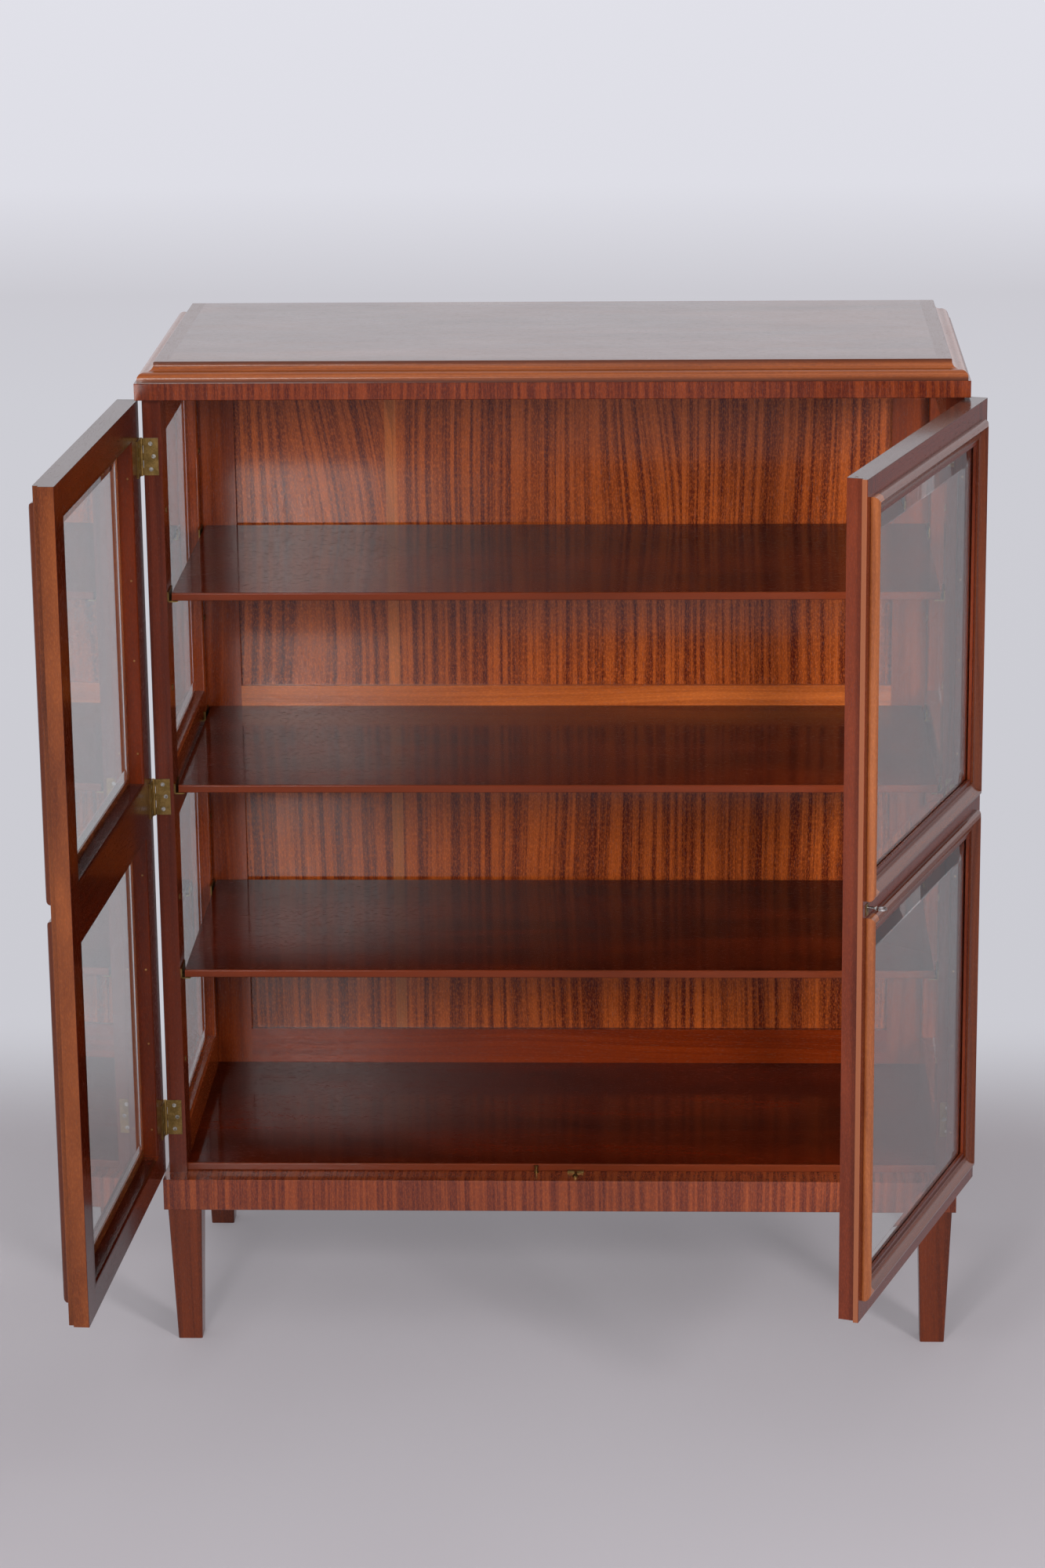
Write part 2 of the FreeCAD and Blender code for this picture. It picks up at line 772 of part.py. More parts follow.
def front_stile(sign):
    x0, x1 = spans(sign, half_inner, half_body)
    outer = "xy" if sign < 0 else "Xy"
    blank = prism("Z", eased(x0, x1, ZERO, side_sight_front, outer), base_top, stile_top, "Stile")
    tools = pane_rabbets(sign, s.front_stile_depth, side_sight_front)
    tools += side_bores(sign, clip_peg_setback, s.socket_setback)
    inward = FreeCAD.Rotation(X_AXIS, -90)
    tools += [
        cylinder(
            s.screw_radius + s.screw_clearance, s.screw_length, sign * (half_body - aside), ZERO, up, inward
        )
        for aside, up in screw_places()
    ]
    return cut(blank, tools)


def rear_stile(sign):
    x0, x1 = spans(sign, half_inner, half_body)
    outer = "xY" if sign < 0 else "XY"
    blank = prism("Z", eased(x0, x1, side_sight_back, s.body_depth, outer), base_top, stile_top, "Stile")
    tools = pane_rabbets(sign, side_sight_back, rear_stile_front)
    return cut(blank, tools + side_bores(sign, rear_clip_peg, rear_socket_y))


def side_rails(sign):
    """Bottom, middle and top rails of a side, rabbeted for the glass and its beads."""
    inner = sign * half_inner
    lip = sign * side_lip_in
    outer = sign * half_body
    width = s.side_lip_width
    low_arris, mid_low = side_panes[0]
    mid_high, top_arris = side_panes[1]
    outlines = [
        [
            (inner, base_top), (outer, base_top), (outer, low_arris + width), (lip, low_arris + width),
            (lip, low_arris), (inner, low_arris),
        ],
        [
            (inner, mid_low), (lip, mid_low), (lip, mid_low - width), (outer, mid_low - width),
            (outer, mid_high + width), (lip, mid_high + width), (lip, mid_high), (inner, mid_high),
        ],
        [
            (inner, top_arris), (lip, top_arris), (lip, top_arris - width), (outer, top_arris - width),
            (outer, stile_top), (inner, stile_top),
        ],
    ]
    return [prism("Y", outline, side_sight_front, side_sight_back, "Rail") for outline in outlines]


def bevelled_glass(span, height, bevel_width, rotation, x, y, z):
    """A pane whose outer face has a wide ground bevel. It faces minus Y before its turn."""
    rise = s.glass_thickness - s.glass_edge
    slab = box(ZERO, span, rise, s.glass_thickness, ZERO, height, "Pane")
    bevel = doc.addObject("Part::Wedge", "Bevel")
    bounds = {
        "Xmin": bevel_width, "Xmax": span - bevel_width, "Zmin": bevel_width,
        "Zmax": height - bevel_width, "Ymin": ZERO, "Ymax": rise,
        "X2min": ZERO, "X2max": span, "Z2min": ZERO, "Z2max": height,
    }
    for side, place in bounds.items():
        setattr(bevel, side, place.value)
        bevel.setExpression(side, place.text)
    return at(fuse([slab, bevel], "Glass"), x, y, z, rotation)


def side_glass(sign):
    clear = s.glass_clearance
    span = rear_stile_front - s.front_stile_depth - 2 * clear
    panes = []
    for low, high in side_panes:
        x = sign * side_lip_in
        y = s.front_stile_depth + clear if sign > 0 else rear_stile_front - clear
        turn = FreeCAD.Rotation(Z_AXIS, 90 * sign)
        height = high - low - 2 * clear
        panes.append(bevelled_glass(span, height, s.side_glass_bevel, turn, x, y, low + clear))
    return panes


def bead_section(width, depth, rounding):
    """A glazing bead: t runs from the rabbet towards the pane, h from the glass to the face."""
    return [
        (ZERO, ZERO),
        (width, ZERO),
        (width, depth - rounding, rounding * round_bulge_share),
        (width - rounding, depth),
        (ZERO, depth),
    ]


def side_beads(sign):
    depth = side_glass_in - half_inner
    section = bead_section(s.side_lip_width, depth, s.bead_rounding)
    normal = "-X" if sign > 0 else "+X"
    beads = []
    for low, high in side_panes:
        beads += ring(
            normal, sign * side_glass_in, s.front_stile_depth, rear_stile_front, low, high,
            section, s.side_lip_width, section, s.side_lip_width
        )
    return beads


def make_sides():
    for side, sign in (("left", -1), ("right", 1)):
        node(f"front_stile_{side}", front_stile(sign), CABINET)
        node(f"side_rails_{side}", group(side_rails(sign)), CABINET)
        node(f"side_glass_{side}", group(side_glass(sign)), CABINET)
        node(f"side_beads_{side}", group(side_beads(sign)), CABINET)
    node("rear_stiles", group(mirrored_pair(rear_stile)), CABINET)


# Back: framed panels tucked into rabbets that open to the rear


def make_back():
    sight = half_inner - s.back_stile_width
    tucked = sight + s.panel_tuck
    panel_front = back_face + s.panel_recess
    mid_low = base_top + s.back_mid_rail_rise
    panels = [
        (base_top + s.back_bottom_rail, mid_low),
        (mid_low + s.back_mid_rail, stile_top - s.back_top_rail),
    ]

    def stile(sign):
        x0, x1 = spans(sign, sight, half_inner)
        r0, r1 = spans(sign, sight, tucked)
        blank = box(x0, x1, back_face, s.body_depth, base_top, stile_top, "Stile")
        rabbets = [
            box(r0, r1, panel_front, s.body_depth, low - s.panel_tuck, high + s.panel_tuck)
            for low, high in panels
        ]
        return cut(blank, rabbets)

    def rail(low, high, rabbet_low, rabbet_high):
        outline = [(back_face, low), (panel_front, low)]
        if rabbet_low:
            outline += [(panel_front, low + s.panel_tuck), (s.body_depth, low + s.panel_tuck)]
        else:
            outline += [(s.body_depth, low)]
        if rabbet_high:
            outline += [(s.body_depth, high - s.panel_tuck), (panel_front, high - s.panel_tuck)]
            outline += [(panel_front, high)]
        else:
            outline += [(s.body_depth, high)]
        return prism("X", outline + [(back_face, high)], -sight, sight, "Rail")

    node("back_stiles", group(mirrored_pair(stile)), CABINET)
    rails = [
        rail(base_top, panels[0][0], False, True),
        rail(panels[0][1], panels[1][0], True, True),
        rail(panels[1][1], stile_top, True, False),
    ]
    node("back_rails", group(rails), CABINET)
    for label, (low, high) in zip(("back_panel_lower", "back_panel_upper"), panels):
        board(
            label, CABINET, -tucked, tucked, panel_front, panel_front + s.panel_thickness,
            low - s.panel_tuck, high + s.panel_tuck
        )


# Shelf clips and the sockets for other shelf heights


def shelf_clip(sign, level, y0, y1, peg_y):
    """A bent strip: an upright on the stile, a foot under the shelf and a peg in the stile."""
    face = sign * half_inner
    inner = face - sign * s.clip_thickness
    tip = face - sign * s.clip_foot
    low = level - s.clip_thickness
    bend = s.clip_thickness
    outline = [
        (face, low + bend), (face, low + s.clip_height), (inner, low + s.clip_height), (inner, level),
        (tip, level), (tip, low), (face - sign * bend, low),
    ]
    strip_body = prism("Y", outline, y0, y1, "Clip")
    peg = cylinder(
        s.clip_peg_radius, s.clip_peg_length, face, peg_y, level + s.clip_height / 2, facing_in(sign), "Peg"
    )
    return fuse([strip_body, peg])


def socket(sign, y, level):
    """A flanged bush let into a stile, ready for a clip's peg."""
    face = sign * half_inner
    turn = facing_in(sign)
    flange = cylinder(s.socket_flange_radius, s.socket_flange, face - sign * s.socket_flange, y, level, turn)
    sleeve = cylinder(s.socket_radius, s.socket_length, face, y, level, turn)
    bore_start = face - sign * 2 * s.socket_flange
    bore = cylinder(s.socket_bore, s.socket_length, bore_start, y, level, turn)
    return cut(fuse([flange, sleeve]), [bore])


def make_shelf_fittings():
    clips = []
    sockets = []
    for sign in (-1, 1):
        for level in clip_levels:
            clips.append(shelf_clip(sign, level, s.clip_front, s.clip_front + s.clip_length, clip_peg_setback))
            clips.append(shelf_clip(sign, level, rear_clip_back - s.clip_length, rear_clip_back, rear_clip_peg))
        for level in socket_levels:
            sockets.append(socket(sign, s.socket_setback, level))
            sockets.append(socket(sign, rear_socket_y, level))
    node("shelf_clips", group(clips), CABINET)
    node("shelf_sockets", group(sockets), CABINET)


# Doors: rabbeted frames, bevelled glass, mitred mouldings and pinned beads


class Door:
    """One door's sizes in its own frame, where reach is counted from the hinge axis."""

    def __init__(self, side, sign, frame, reach, front_reach):
        self.side = side
        self.sign = sign
        self.frame = frame
        self.reach = reach
        self.front_reach = front_reach
        self.hinge_foot = s.hinge_edge_gap + s.hinge_margin
        self.free_foot = front_reach - s.free_margin
        self.hinge_sight = self.hinge_foot + s.sight_margin
        self.free_sight = self.free_foot - s.sight_margin
        self.hinge_rabbet = self.hinge_sight - s.stile_rabbet
        self.free_rabbet = self.free_sight + s.stile_rabbet

    def span(self, near, far):
        return spans(self.sign, near, far)

    def x(self, reach):
        return self.sign * as_size(reach)

    def mirrored(self, outline):
        """An outline whose first coordinate is a reach, drawn on this door's side."""
        if self.sign > 0:
            return outline
        flipped = [(-as_size(point[0]), point[1]) for point in outline]
        return flipped[::-1]


frame_low = door_low + s.end_margin
frame_high = door_high - s.end_margin
frame_middle = (frame_low + frame_high) / 2
upper_feet = (frame_middle + s.mid_flat / 2, frame_high)
lower_feet = (frame_low, frame_middle - s.mid_flat / 2)
upper_sight = (upper_feet[0] + s.sight_margin, upper_feet[1] - s.sight_margin)
lower_sight = (lower_feet[0] + s.sight_margin, lower_feet[1] - s.sight_margin)
upper_rabbet = (upper_sight[0] - s.mid_rabbet, upper_sight[1] + s.rail_rabbet)
lower_rabbet = (lower_sight[0] - s.bottom_rabbet, lower_sight[1] - s.mid_rail_drop)
groove_top = lower_sight[1] + s.glass_groove
bead_depth = s.door_thickness - s.lip_thickness - s.glass_thickness


def stile_rabbets(door, near, far):
    """What a door stile loses for the panes: two rabbets and the slot above the lower one."""
    x0, x1 = door.span(near, far)
    return [
        box(x0, x1, lip_back, door_face, *upper_rabbet),
        box(x0, x1, lip_back, door_face, *lower_rabbet),
        box(x0, x1, lip_back, glass_back, lower_rabbet[1], groove_top),
    ]


def hinge_stile(door):
    ease = s.arris
    near = s.hinge_edge_gap
    outline = [
        (near, door_front + ease), (near + ease, door_front), (door.hinge_sight, door_front),
        (door.hinge_sight, door_face), (near, door_face),
    ]
    blank = prism("Z", door.mirrored(outline), door_low, door_high, "Stile")
    tools = stile_rabbets(door, door.hinge_rabbet, door.hinge_sight)
    outward = FreeCAD.Rotation(X_AXIS, 90)
    tools += [
        cylinder(
            s.screw_radius + s.screw_clearance, s.screw_length, door.x(near + aside), door_face, up, outward
        )
        for aside, up in screw_places()
    ]
    return cut(blank, tools)


def meeting_stile(door):
    """The stile at the free edge: cut back on the left door, with a lip on the right one."""
    ease = s.arris
    step_face = rebate_face if door.sign < 0 else rebate_face + s.rebate_clearance
    outline = [
        (door.free_sight, door_front), (door.front_reach - ease, door_front),
        (door.front_reach, door_front + ease), (door.front_reach, step_face), (door.reach, step_face),
        (door.reach, door_face), (door.free_sight, door_face),
    ]
    blank = prism("Z", door.mirrored(outline), door_low, door_high, "Stile")
    tools = stile_rabbets(door, door.free_sight, door.free_rabbet)
    if door.sign < 0:
        tools += lock_cuts(door)
    return cut(blank, tools)


def door_rails(door):
    """Top, middle and bottom rails, drawn in Y and Z and run between the stiles."""
    top = [
        (door_front, upper_sight[1]), (lip_back, upper_sight[1]), (lip_back, upper_rabbet[1]),
        (door_face, upper_rabbet[1]), (door_face, door_high), (door_front, door_high),
    ]
    middle = [
        (door_front, lower_sight[1]), (lip_back, lower_sight[1]), (lip_back, groove_top),
        (glass_back, groove_top), (glass_back, lower_rabbet[1]), (door_face, lower_rabbet[1]),
        (door_face, upper_rabbet[0]), (lip_back, upper_rabbet[0]), (lip_back, upper_sight[0]),
        (door_front, upper_sight[0]),
    ]
    bottom = [
        (door_front, door_low), (door_face, door_low), (door_face, lower_rabbet[0]), (lip_back, lower_rabbet[0]),
        (lip_back, lower_sight[0]), (door_front, lower_sight[0]),
    ]
    x0, x1 = door.span(door.hinge_sight, door.free_sight)
    return [prism("X", outline, x0, x1, "Rail") for outline in (bottom, middle, top)]


def door_glass(door):
    clear = s.glass_clearance
    x0, x1 = door.span(door.hinge_rabbet + clear, door.free_rabbet - clear)
    return [
        bevelled_glass(
            x1 - x0, high - low - 2 * clear, s.door_glass_bevel, FreeCAD.Rotation(), x0, lip_back, low + clear
        )
        for low, high in ((lower_rabbet[0], groove_top), upper_rabbet)
    ]


def moulding_section():
    """The bolection moulding: a round back, a crest and a hollow slope down to a fillet by the pane."""
    return [
        (ZERO, ZERO),
        (s.moulding_width, ZERO),
        (s.moulding_width, s.moulding_edge),
        (s.moulding_width - s.moulding_fillet, s.moulding_edge, -s.moulding_hollow),
        (s.moulding_crest, s.moulding_height),
        (s.moulding_shoulder, s.moulding_shoulder_height, s.moulding_round),
    ]


def door_mouldings(door):
    low, high = door.span(door.hinge_foot, door.free_foot)
    section = moulding_section()
    width = s.moulding_width
    strips = []
    for z0, z1 in (lower_feet, upper_feet):
        strips += ring("-Y", door_front, low, high, z0, z1, section, width, section, width)
    return strips


def door_beads(door):
    low, high = door.span(door.hinge_rabbet, door.free_rabbet)
    upright = bead_section(s.stile_bead, bead_depth, s.door_bead_rounding)
    flat = bead_section(s.rail_bead, bead_depth, s.door_bead_rounding)
    beads = ring("+Y", glass_back, low, high, *upper_rabbet, flat, s.rail_bead, upright, s.stile_bead)
    beads += ring("+Y", glass_back, low, high, *lower_rabbet, flat, s.rail_bead, upright, s.stile_bead, False)
    return cut(group(beads), bead_pin_bores(door))


bead_pin_shares = (0.1, 0.37, 0.6, 0.89)
pin_line = door_face - s.bead_pin_setback


def bead_pin_places(door):
    """Where the pins enter the upright beads: reach, level and the way they point."""
    places = []
    for low, high in (lower_rabbet, upper_rabbet):
        for share in bead_pin_shares:
            level = low + (high - low) * share
            places.append((door.hinge_rabbet + s.stile_bead, level, -1))
            places.append((door.free_rabbet - s.stile_bead, level, 1))
    return places


def bead_pin_bores(door):
    bores = []
    for reach, level, way in bead_pin_places(door):
        turn = FreeCAD.Rotation(Y_AXIS, 90 * way * door.sign)
        bores.append(
            cylinder(
                s.bead_pin_radius + s.screw_clearance, s.bead_pin_depth + s.screw_clearance, door.x(reach),
                pin_line, level, turn
            )
        )
    return bores


def bead_pins(door):
    pins = []
    for reach, level, way in bead_pin_places(door):
        turn = FreeCAD.Rotation(Y_AXIS, 90 * way * door.sign)
        shank = cylinder(s.bead_pin_radius, s.bead_pin_depth, door.x(reach), pin_line, level, turn)
        head_x = door.x(reach - way * s.bead_pin_proud)
        head = cylinder(s.bead_pin_head, s.bead_pin_proud, head_x, pin_line, level, turn)
        pins.append(fuse([head, shank], "Pin"))
    return pins


# Hinges: leaves with rolled knuckles, a pin through each and countersunk screws

knuckle_count = 5
knuckle_height = s.hinge_height / knuckle_count
cabinet_knuckles = range(0, knuckle_count, 2)
door_knuckles = range(1, knuckle_count, 2)
INTO_STILE = FreeCAD.Rotation(X_AXIS, -90)
INTO_DOOR = FreeCAD.Rotation(X_AXIS, 90)


def screw(x, y, z, turn):
    """A countersunk screw whose head lies flush at its place and whose shank points along the turn."""
    head = cone(s.screw_head_radius, s.screw_radius, s.leaf_thickness, x, y, z, turn, "Head")
    shank = cylinder(s.screw_radius, s.screw_length, x, y, z, turn, "Shank")
    return fuse([head, shank], "Screw")


def leaf(sign, edge, plate_y, knuckles, low, screw_y, turn):
    """A hinge leaf about its axis at X and Y zero. Edge is how far off the wood starts."""
    tube_gap = s.knuckle_radius + s.neck_gap
    x0, x1 = spans(sign, -(edge + s.leaf_width), -tube_gap)
    n0, n1 = spans(sign, -tube_gap, ZERO)
    y0, y1 = plate_y
    pieces = [box(x0, x1, y0, y1, low, low + s.hinge_height, "Plate")]
    bores = []
    for index in knuckles:
        z0 = low + knuckle_height * index + s.knuckle_gap / 2
        z1 = low + knuckle_height * (index + 1) - s.knuckle_gap / 2
        pieces.append(box(n0, n1, y0, y1, z0, z1, "Neck"))
        pieces.append(cylinder(s.knuckle_radius, z1 - z0, ZERO, ZERO, z0, None, "Knuckle"))
        bores.append(cylinder(s.hinge_pin_radius + s.hinge_pin_clearance, z1 - z0, ZERO, ZERO, z0))
    for aside, up in hinge_screw_places():
        bores.append(
            cone(
                s.screw_head_radius + s.screw_clearance, s.screw_radius + s.screw_clearance, s.leaf_thickness,
                -sign * (edge + aside), screw_y, low + up, turn
            )
        )
    return cut(fuse(pieces), bores, "Leaf")


def make_cabinet_hinges():
    """The leaves on the stile fronts, their screws, and the pins that both leaves turn on."""
    leaves = []
    screws = []
    pins = []
    plate_y = (-axis_y - s.leaf_thickness, -axis_y)
    for sign in (-1, 1):
        for low in hinge_lows:
            piece = leaf(sign, s.knuckle_radius, plate_y, cabinet_knuckles, low, plate_y[0], INTO_STILE)
            leaves.append(at(piece, sign * axis_x, axis_y))
            shaft = cylinder(s.hinge_pin_radius, s.hinge_height, ZERO, ZERO, low)
            foot = cylinder(s.pin_cap_radius, s.pin_cap_height, ZERO, ZERO, low - s.pin_cap_height)
            head = cylinder(s.pin_cap_radius, s.pin_cap_height, ZERO, ZERO, low + s.hinge_height)
            pins.append(at(fuse([shaft, foot, head], "Pin"), sign * axis_x, axis_y))
        for aside, up in screw_places():
            screws.append(screw(sign * (half_body - aside), -s.leaf_thickness, up, INTO_STILE))
    node("cabinet_hinge_leaves", group(leaves), CABINET)
    node("cabinet_hinge_screws", group(screws), CABINET)
    node("hinge_pins", group(pins), CABINET)


def make_door_hinges(door):
    """The leaves let onto the door's inner face, and their screws."""
    near_face = door_face + s.leaf_thickness
    leaves = [
        leaf(-door.sign, s.hinge_edge_gap, (door_face, near_face), door_knuckles, low, near_face, INTO_DOOR)
        for low in hinge_lows
    ]
    screws = [screw(door.x(s.hinge_edge_gap + aside), near_face, up, INTO_DOOR) for aside, up in screw_places()]
    node(f"{door.side}_door_hinge_leaves", group(leaves), door.frame)
    node(f"{door.side}_door_hinge_screws", group(screws), door.frame)


# Lock: a case let into the right meeting stile, a follower that the key turns, and two bolts

lock_back = door_face - s.lock_case_depth
lock_level = frame_middle + s.keyhole_rise
lock_low = lock_level - s.lock_case_height / 2
lock_high = lock_level + s.lock_case_height / 2
lock_near = lock_reach - s.lock_case_width / 2
lock_far = lock_reach + s.lock_case_width / 2
plate_low = lock_low - s.lock_plate_margin
plate_high = lock_high + s.lock_plate_margin
bolt_line = door_face - s.lock_depth
bolt_bore = s.bolt_radius + s.bolt_clearance
flange_front = lock_back + s.lock_case_wall + s.hub_gap
flange_back = flange_front + s.hub_flange
hub_end = bolt_line + s.bolt_tail_thickness / 2


def keyhole(y0, y1, clearance):
    """A keyhole on the lock's line: a round hole with a slot below it."""
    radius = s.keyhole_radius + clearance
    half_slot = s.keyhole_slot / 2 + clearance
    x = -lock_reach
    length = as_size(y1) - y0
    hole = cylinder(radius, length, x, y1, lock_level, INTO_DOOR)
    slot = box(x - half_slot, x + half_slot, y0, y1, lock_level - s.keyhole_drop - clearance, lock_level)
    return fuse([hole, slot], "Keyhole")


def lock_cuts(door):
    """What the right meeting stile loses: the mortise, the plate's recess, two bores and the keyhole."""
    gap = s.mortise_clearance
    near, far = door.span(lock_near - gap, lock_far + gap)
    lower_x = door.x(lower_bolt_reach)
    upper_x = door.x(upper_bolt_reach)
    return [
        box(near, far, lock_back - gap, door_face, lock_low - gap, lock_high + gap),
        box(near, far, door_face - s.lock_plate, door_face, plate_low - gap, plate_high + gap),
        cylinder(bolt_bore, lock_low - door_low, lower_x, bolt_line, door_low),
        cylinder(bolt_bore, door_high - lock_high, upper_x, bolt_line, lock_high),
        keyhole(door_front, lock_back, ZERO),
    ]


def lock_case(door):
    wall = s.lock_case_wall
    near, far = door.span(lock_near, lock_far)
    plate_front = door_face - s.lock_plate
    body = box(near, far, lock_back, door_face, lock_low, lock_high, "Case")
    face = box(near, far, plate_front, door_face, plate_low, plate_high, "Plate")
    inner = box(
        near + wall, far - wall, lock_back + wall, plate_front, lock_low + wall, lock_high - wall
    )
    past = wall / 2
    through = wall + 2 * past
    pivot_bore = s.pivot_radius + s.bolt_clearance
    holes = [
        cylinder(bolt_bore, through, door.x(lower_bolt_reach), bolt_line, lock_low - past),
        cylinder(bolt_bore, through, door.x(upper_bolt_reach), bolt_line, lock_high - wall - past),
        keyhole(lock_back - past, lock_back + wall + past, ZERO),
        cylinder(pivot_bore, s.lock_plate, -lock_reach, door_face, lock_level, INTO_DOOR),
    ]
    return cut(fuse([body, face]), [inner] + holes, "Lock")


def follower():
    """The part that the key turns: a hub, a pivot in the plate and a slotted flange for the key's bit."""
    x = -lock_reach
    z = lock_level
    flange = cylinder(s.hub_flange_radius, s.hub_flange, x, flange_back, z, INTO_DOOR)
    hub = cylinder(s.hub_radius, hub_end - flange_back, x, hub_end, z, INTO_DOOR)
    pivot_end = door_face - s.pivot_set_in
    pivot = cylinder(s.pivot_radius, pivot_end - hub_end, x, pivot_end, z, INTO_DOOR)
    bore_end = hub_end - s.pivot_floor
    bore_radius = s.key_shank_radius + s.key_clearance
    bore = cylinder(bore_radius, bore_end - flange_front, x, bore_end, z, INTO_DOOR)
    half_slot = s.key_bit_thickness / 2 + s.key_clearance
    slot = box(x - half_slot, x + half_slot, flange_front, flange_back, z - s.hub_flange_radius, z)
    return cut(fuse([flange, hub, pivot]), [bore, slot], "Follower")


def key():
    """Shank with a bit inside the follower's flange, a collar outside the door and a ring bow."""
    x = -lock_reach
    z = lock_level
    tip = hub_end - s.pivot_floor - s.key_clearance
    collar_back = door_front - s.key_shank_length
    bow_middle = collar_back - s.key_collar_height - s.key_bow_radius
    shank_end = bow_middle + s.key_bow_radius - s.key_bow_web
    shank = cylinder(s.key_shank_radius, tip - shank_end, x, tip, z, INTO_DOOR)
    half_bit = s.key_bit_thickness / 2
    bit = box(
        x - half_bit, x + half_bit, flange_front + s.key_clearance, flange_back - s.key_clearance,
        z - s.key_bit_reach, z, "Bit"
    )
    collar = cylinder(s.key_collar_radius, s.key_collar_height, x, collar_back, z, INTO_DOOR)
    bow_low = z - s.key_bow_thickness / 2
    bow = cylinder(s.key_bow_radius, s.key_bow_thickness, x, bow_middle, bow_low, None, "Bow")
    eye = cylinder(s.key_bow_radius - s.key_bow_web, s.key_bow_thickness, x, bow_middle, bow_low)
    return fuse([cut(bow, [eye]), shank, bit, collar], "Key")


def bolt(door, reach, way, rod_end, tip, tail_near):
    """A round bolt rod whose flat tail passes the hub inside the case."""
    x = door.x(reach)
    low, high = (tip, rod_end) if way < 0 else (rod_end, tip)
    rod = cylinder(s.bolt_radius, high - low, x, bolt_line, low, None, "Rod")
    half = s.bolt_tail_thickness / 2
    tail_end = lock_level - way * s.bolt_tail_pass
    t0, t1 = (rod_end - s.bolt_tail_lap, tail_end) if way < 0 else (tail_end, rod_end + s.bolt_tail_lap)
    x0, x1 = door.span(tail_near, tail_near + s.bolt_tail_width)
    tail = box(x0, x1, bolt_line - half, bolt_line + half, t0, t1, "Tail")
    return fuse([rod, tail], "Bolt")


def make_lock(door):
    inside = s.lock_case_wall + s.bolt_travel + s.bolt_tail_lap
    lower_end = lock_low + inside
    upper_end = lock_high - inside
    off_hub = s.hub_radius + s.bolt_tail_gap
    lower_tail = lock_reach - off_hub - s.bolt_tail_width
    upper_tail = lock_reach + off_hub
    node("lock_case", lock_case(door), door.frame)
    node("lock_follower", follower(), door.frame)
    node("key", key(), door.frame)
    lower = bolt(door, lower_bolt_reach, -1, lower_end, door_low + s.bolt_set_in, lower_tail)
    node("bolt_lower", lower, door.frame)
    upper = bolt(door, upper_bolt_reach, 1, upper_end, door_high - s.bolt_set_in, upper_tail)
    node("bolt_upper", upper, door.frame)
    x = -lock_reach
    half_wide = s.escutcheon_width / 2
    half_tall = s.escutcheon_height / 2
    out = door_front - s.escutcheon_thickness
    outline = eased(x - half_wide, x + half_wide, frame_middle - half_tall, frame_middle + half_tall)
    plate = prism("Y", outline, out, door_front, "Escutcheon")
    node("keyhole_escutcheon", cut(plate, [keyhole(out, door_front, ZERO)]), door.frame)


# Small metal on the ledge and under the top frieze


def make_ledge_metal():
    """The left door's stop peg, and the strikes that the two bolts shoot into."""
    body = doc.addObject("PartDesign::Body", "Peg")
    profile = [
        (ZERO, ZERO),
        (s.stop_peg_foot, ZERO),
        (s.stop_peg_foot, s.stop_peg_flange),
        (s.stop_peg_radius, s.stop_peg_flange),
        (s.stop_peg_radius, s.stop_peg_height - s.stop_peg_cap),
        (s.stop_peg_head, s.stop_peg_height - s.arris),
        (s.stop_peg_head, s.stop_peg_height),
        (ZERO, s.stop_peg_height),
    ]
    drawing = sketch(body, origin_plane(body, "XZ_Plane"), profile)
    turned = body.newObject("PartDesign::Revolution", "Turned")
    turned.Profile = drawing
    turned.ReferenceAxis = (drawing, ["V_Axis"])
    turned.Angle = 360
    peg_y = s.board_setback - s.stop_peg_foot - s.clip_seat
    peg_x = s.left_door_reach - axis_x - s.stop_peg_inset
    node("door_stop_peg", body, CABINET, peg_x, peg_y, base_top)

    strike_x = axis_x - lower_bolt_reach
    strike_y = axis_y + door_face - s.lock_depth
    top = base_top + s.strike_thickness
    plate_back = s.board_setback
    plate_front = plate_back - s.strike_depth
    half_plate = s.strike_width / 2
    half_tongue = s.strike_tongue / 2
    plate_x = (strike_x - half_plate, strike_x + half_plate)
    tongue_x = (strike_x - half_tongue, strike_x + half_tongue)
    plate = box(*plate_x, plate_front, plate_back, base_top, top, "Plate")
    tongue = box(*tongue_x, strike_y, plate_front, base_top, top, "Tongue")
    boss = cylinder(s.strike_boss_radius, s.strike_thickness, strike_x, strike_y, base_top, None, "Boss")
    hole = cylinder(s.bolt_radius + s.strike_clearance, s.strike_thickness, strike_x, strike_y, base_top)
    node("bolt_strike_lower", cut(fuse([plate, tongue, boss]), [hole], "Strike"), CABINET)

    upper_x = axis_x - upper_bolt_reach
    low = stile_top - s.upper_strike_thickness
    upper_plate_x = (upper_x - half_plate, upper_x + half_plate)
    upper_plate_y = (strike_y - s.strike_depth, strike_y + s.strike_depth)
    upper_plate = box(*upper_plate_x, *upper_plate_y, low, stile_top, "Plate")
    hole = cylinder(s.bolt_radius + s.strike_clearance, s.upper_strike_thickness, upper_x, strike_y, low)
    node("bolt_strike_upper", cut(upper_plate, [hole], "Strike"), CABINET)


def make_door(door):
    side = door.side
    node(f"{side}_door_hinge_stile", hinge_stile(door), door.frame)
    node(f"{side}_door_meeting_stile", meeting_stile(door), door.frame)
    node(f"{side}_door_rails", group(door_rails(door)), door.frame)
    node(f"{side}_door_glass", group(door_glass(door)), door.frame)
    node(f"{side}_door_mouldings", group(door_mouldings(door)), door.frame)
    node(f"{side}_door_beads", door_beads(door), door.frame)
    node(f"{side}_door_bead_pins", group(bead_pins(door)), door.frame)
    make_door_hinges(door)


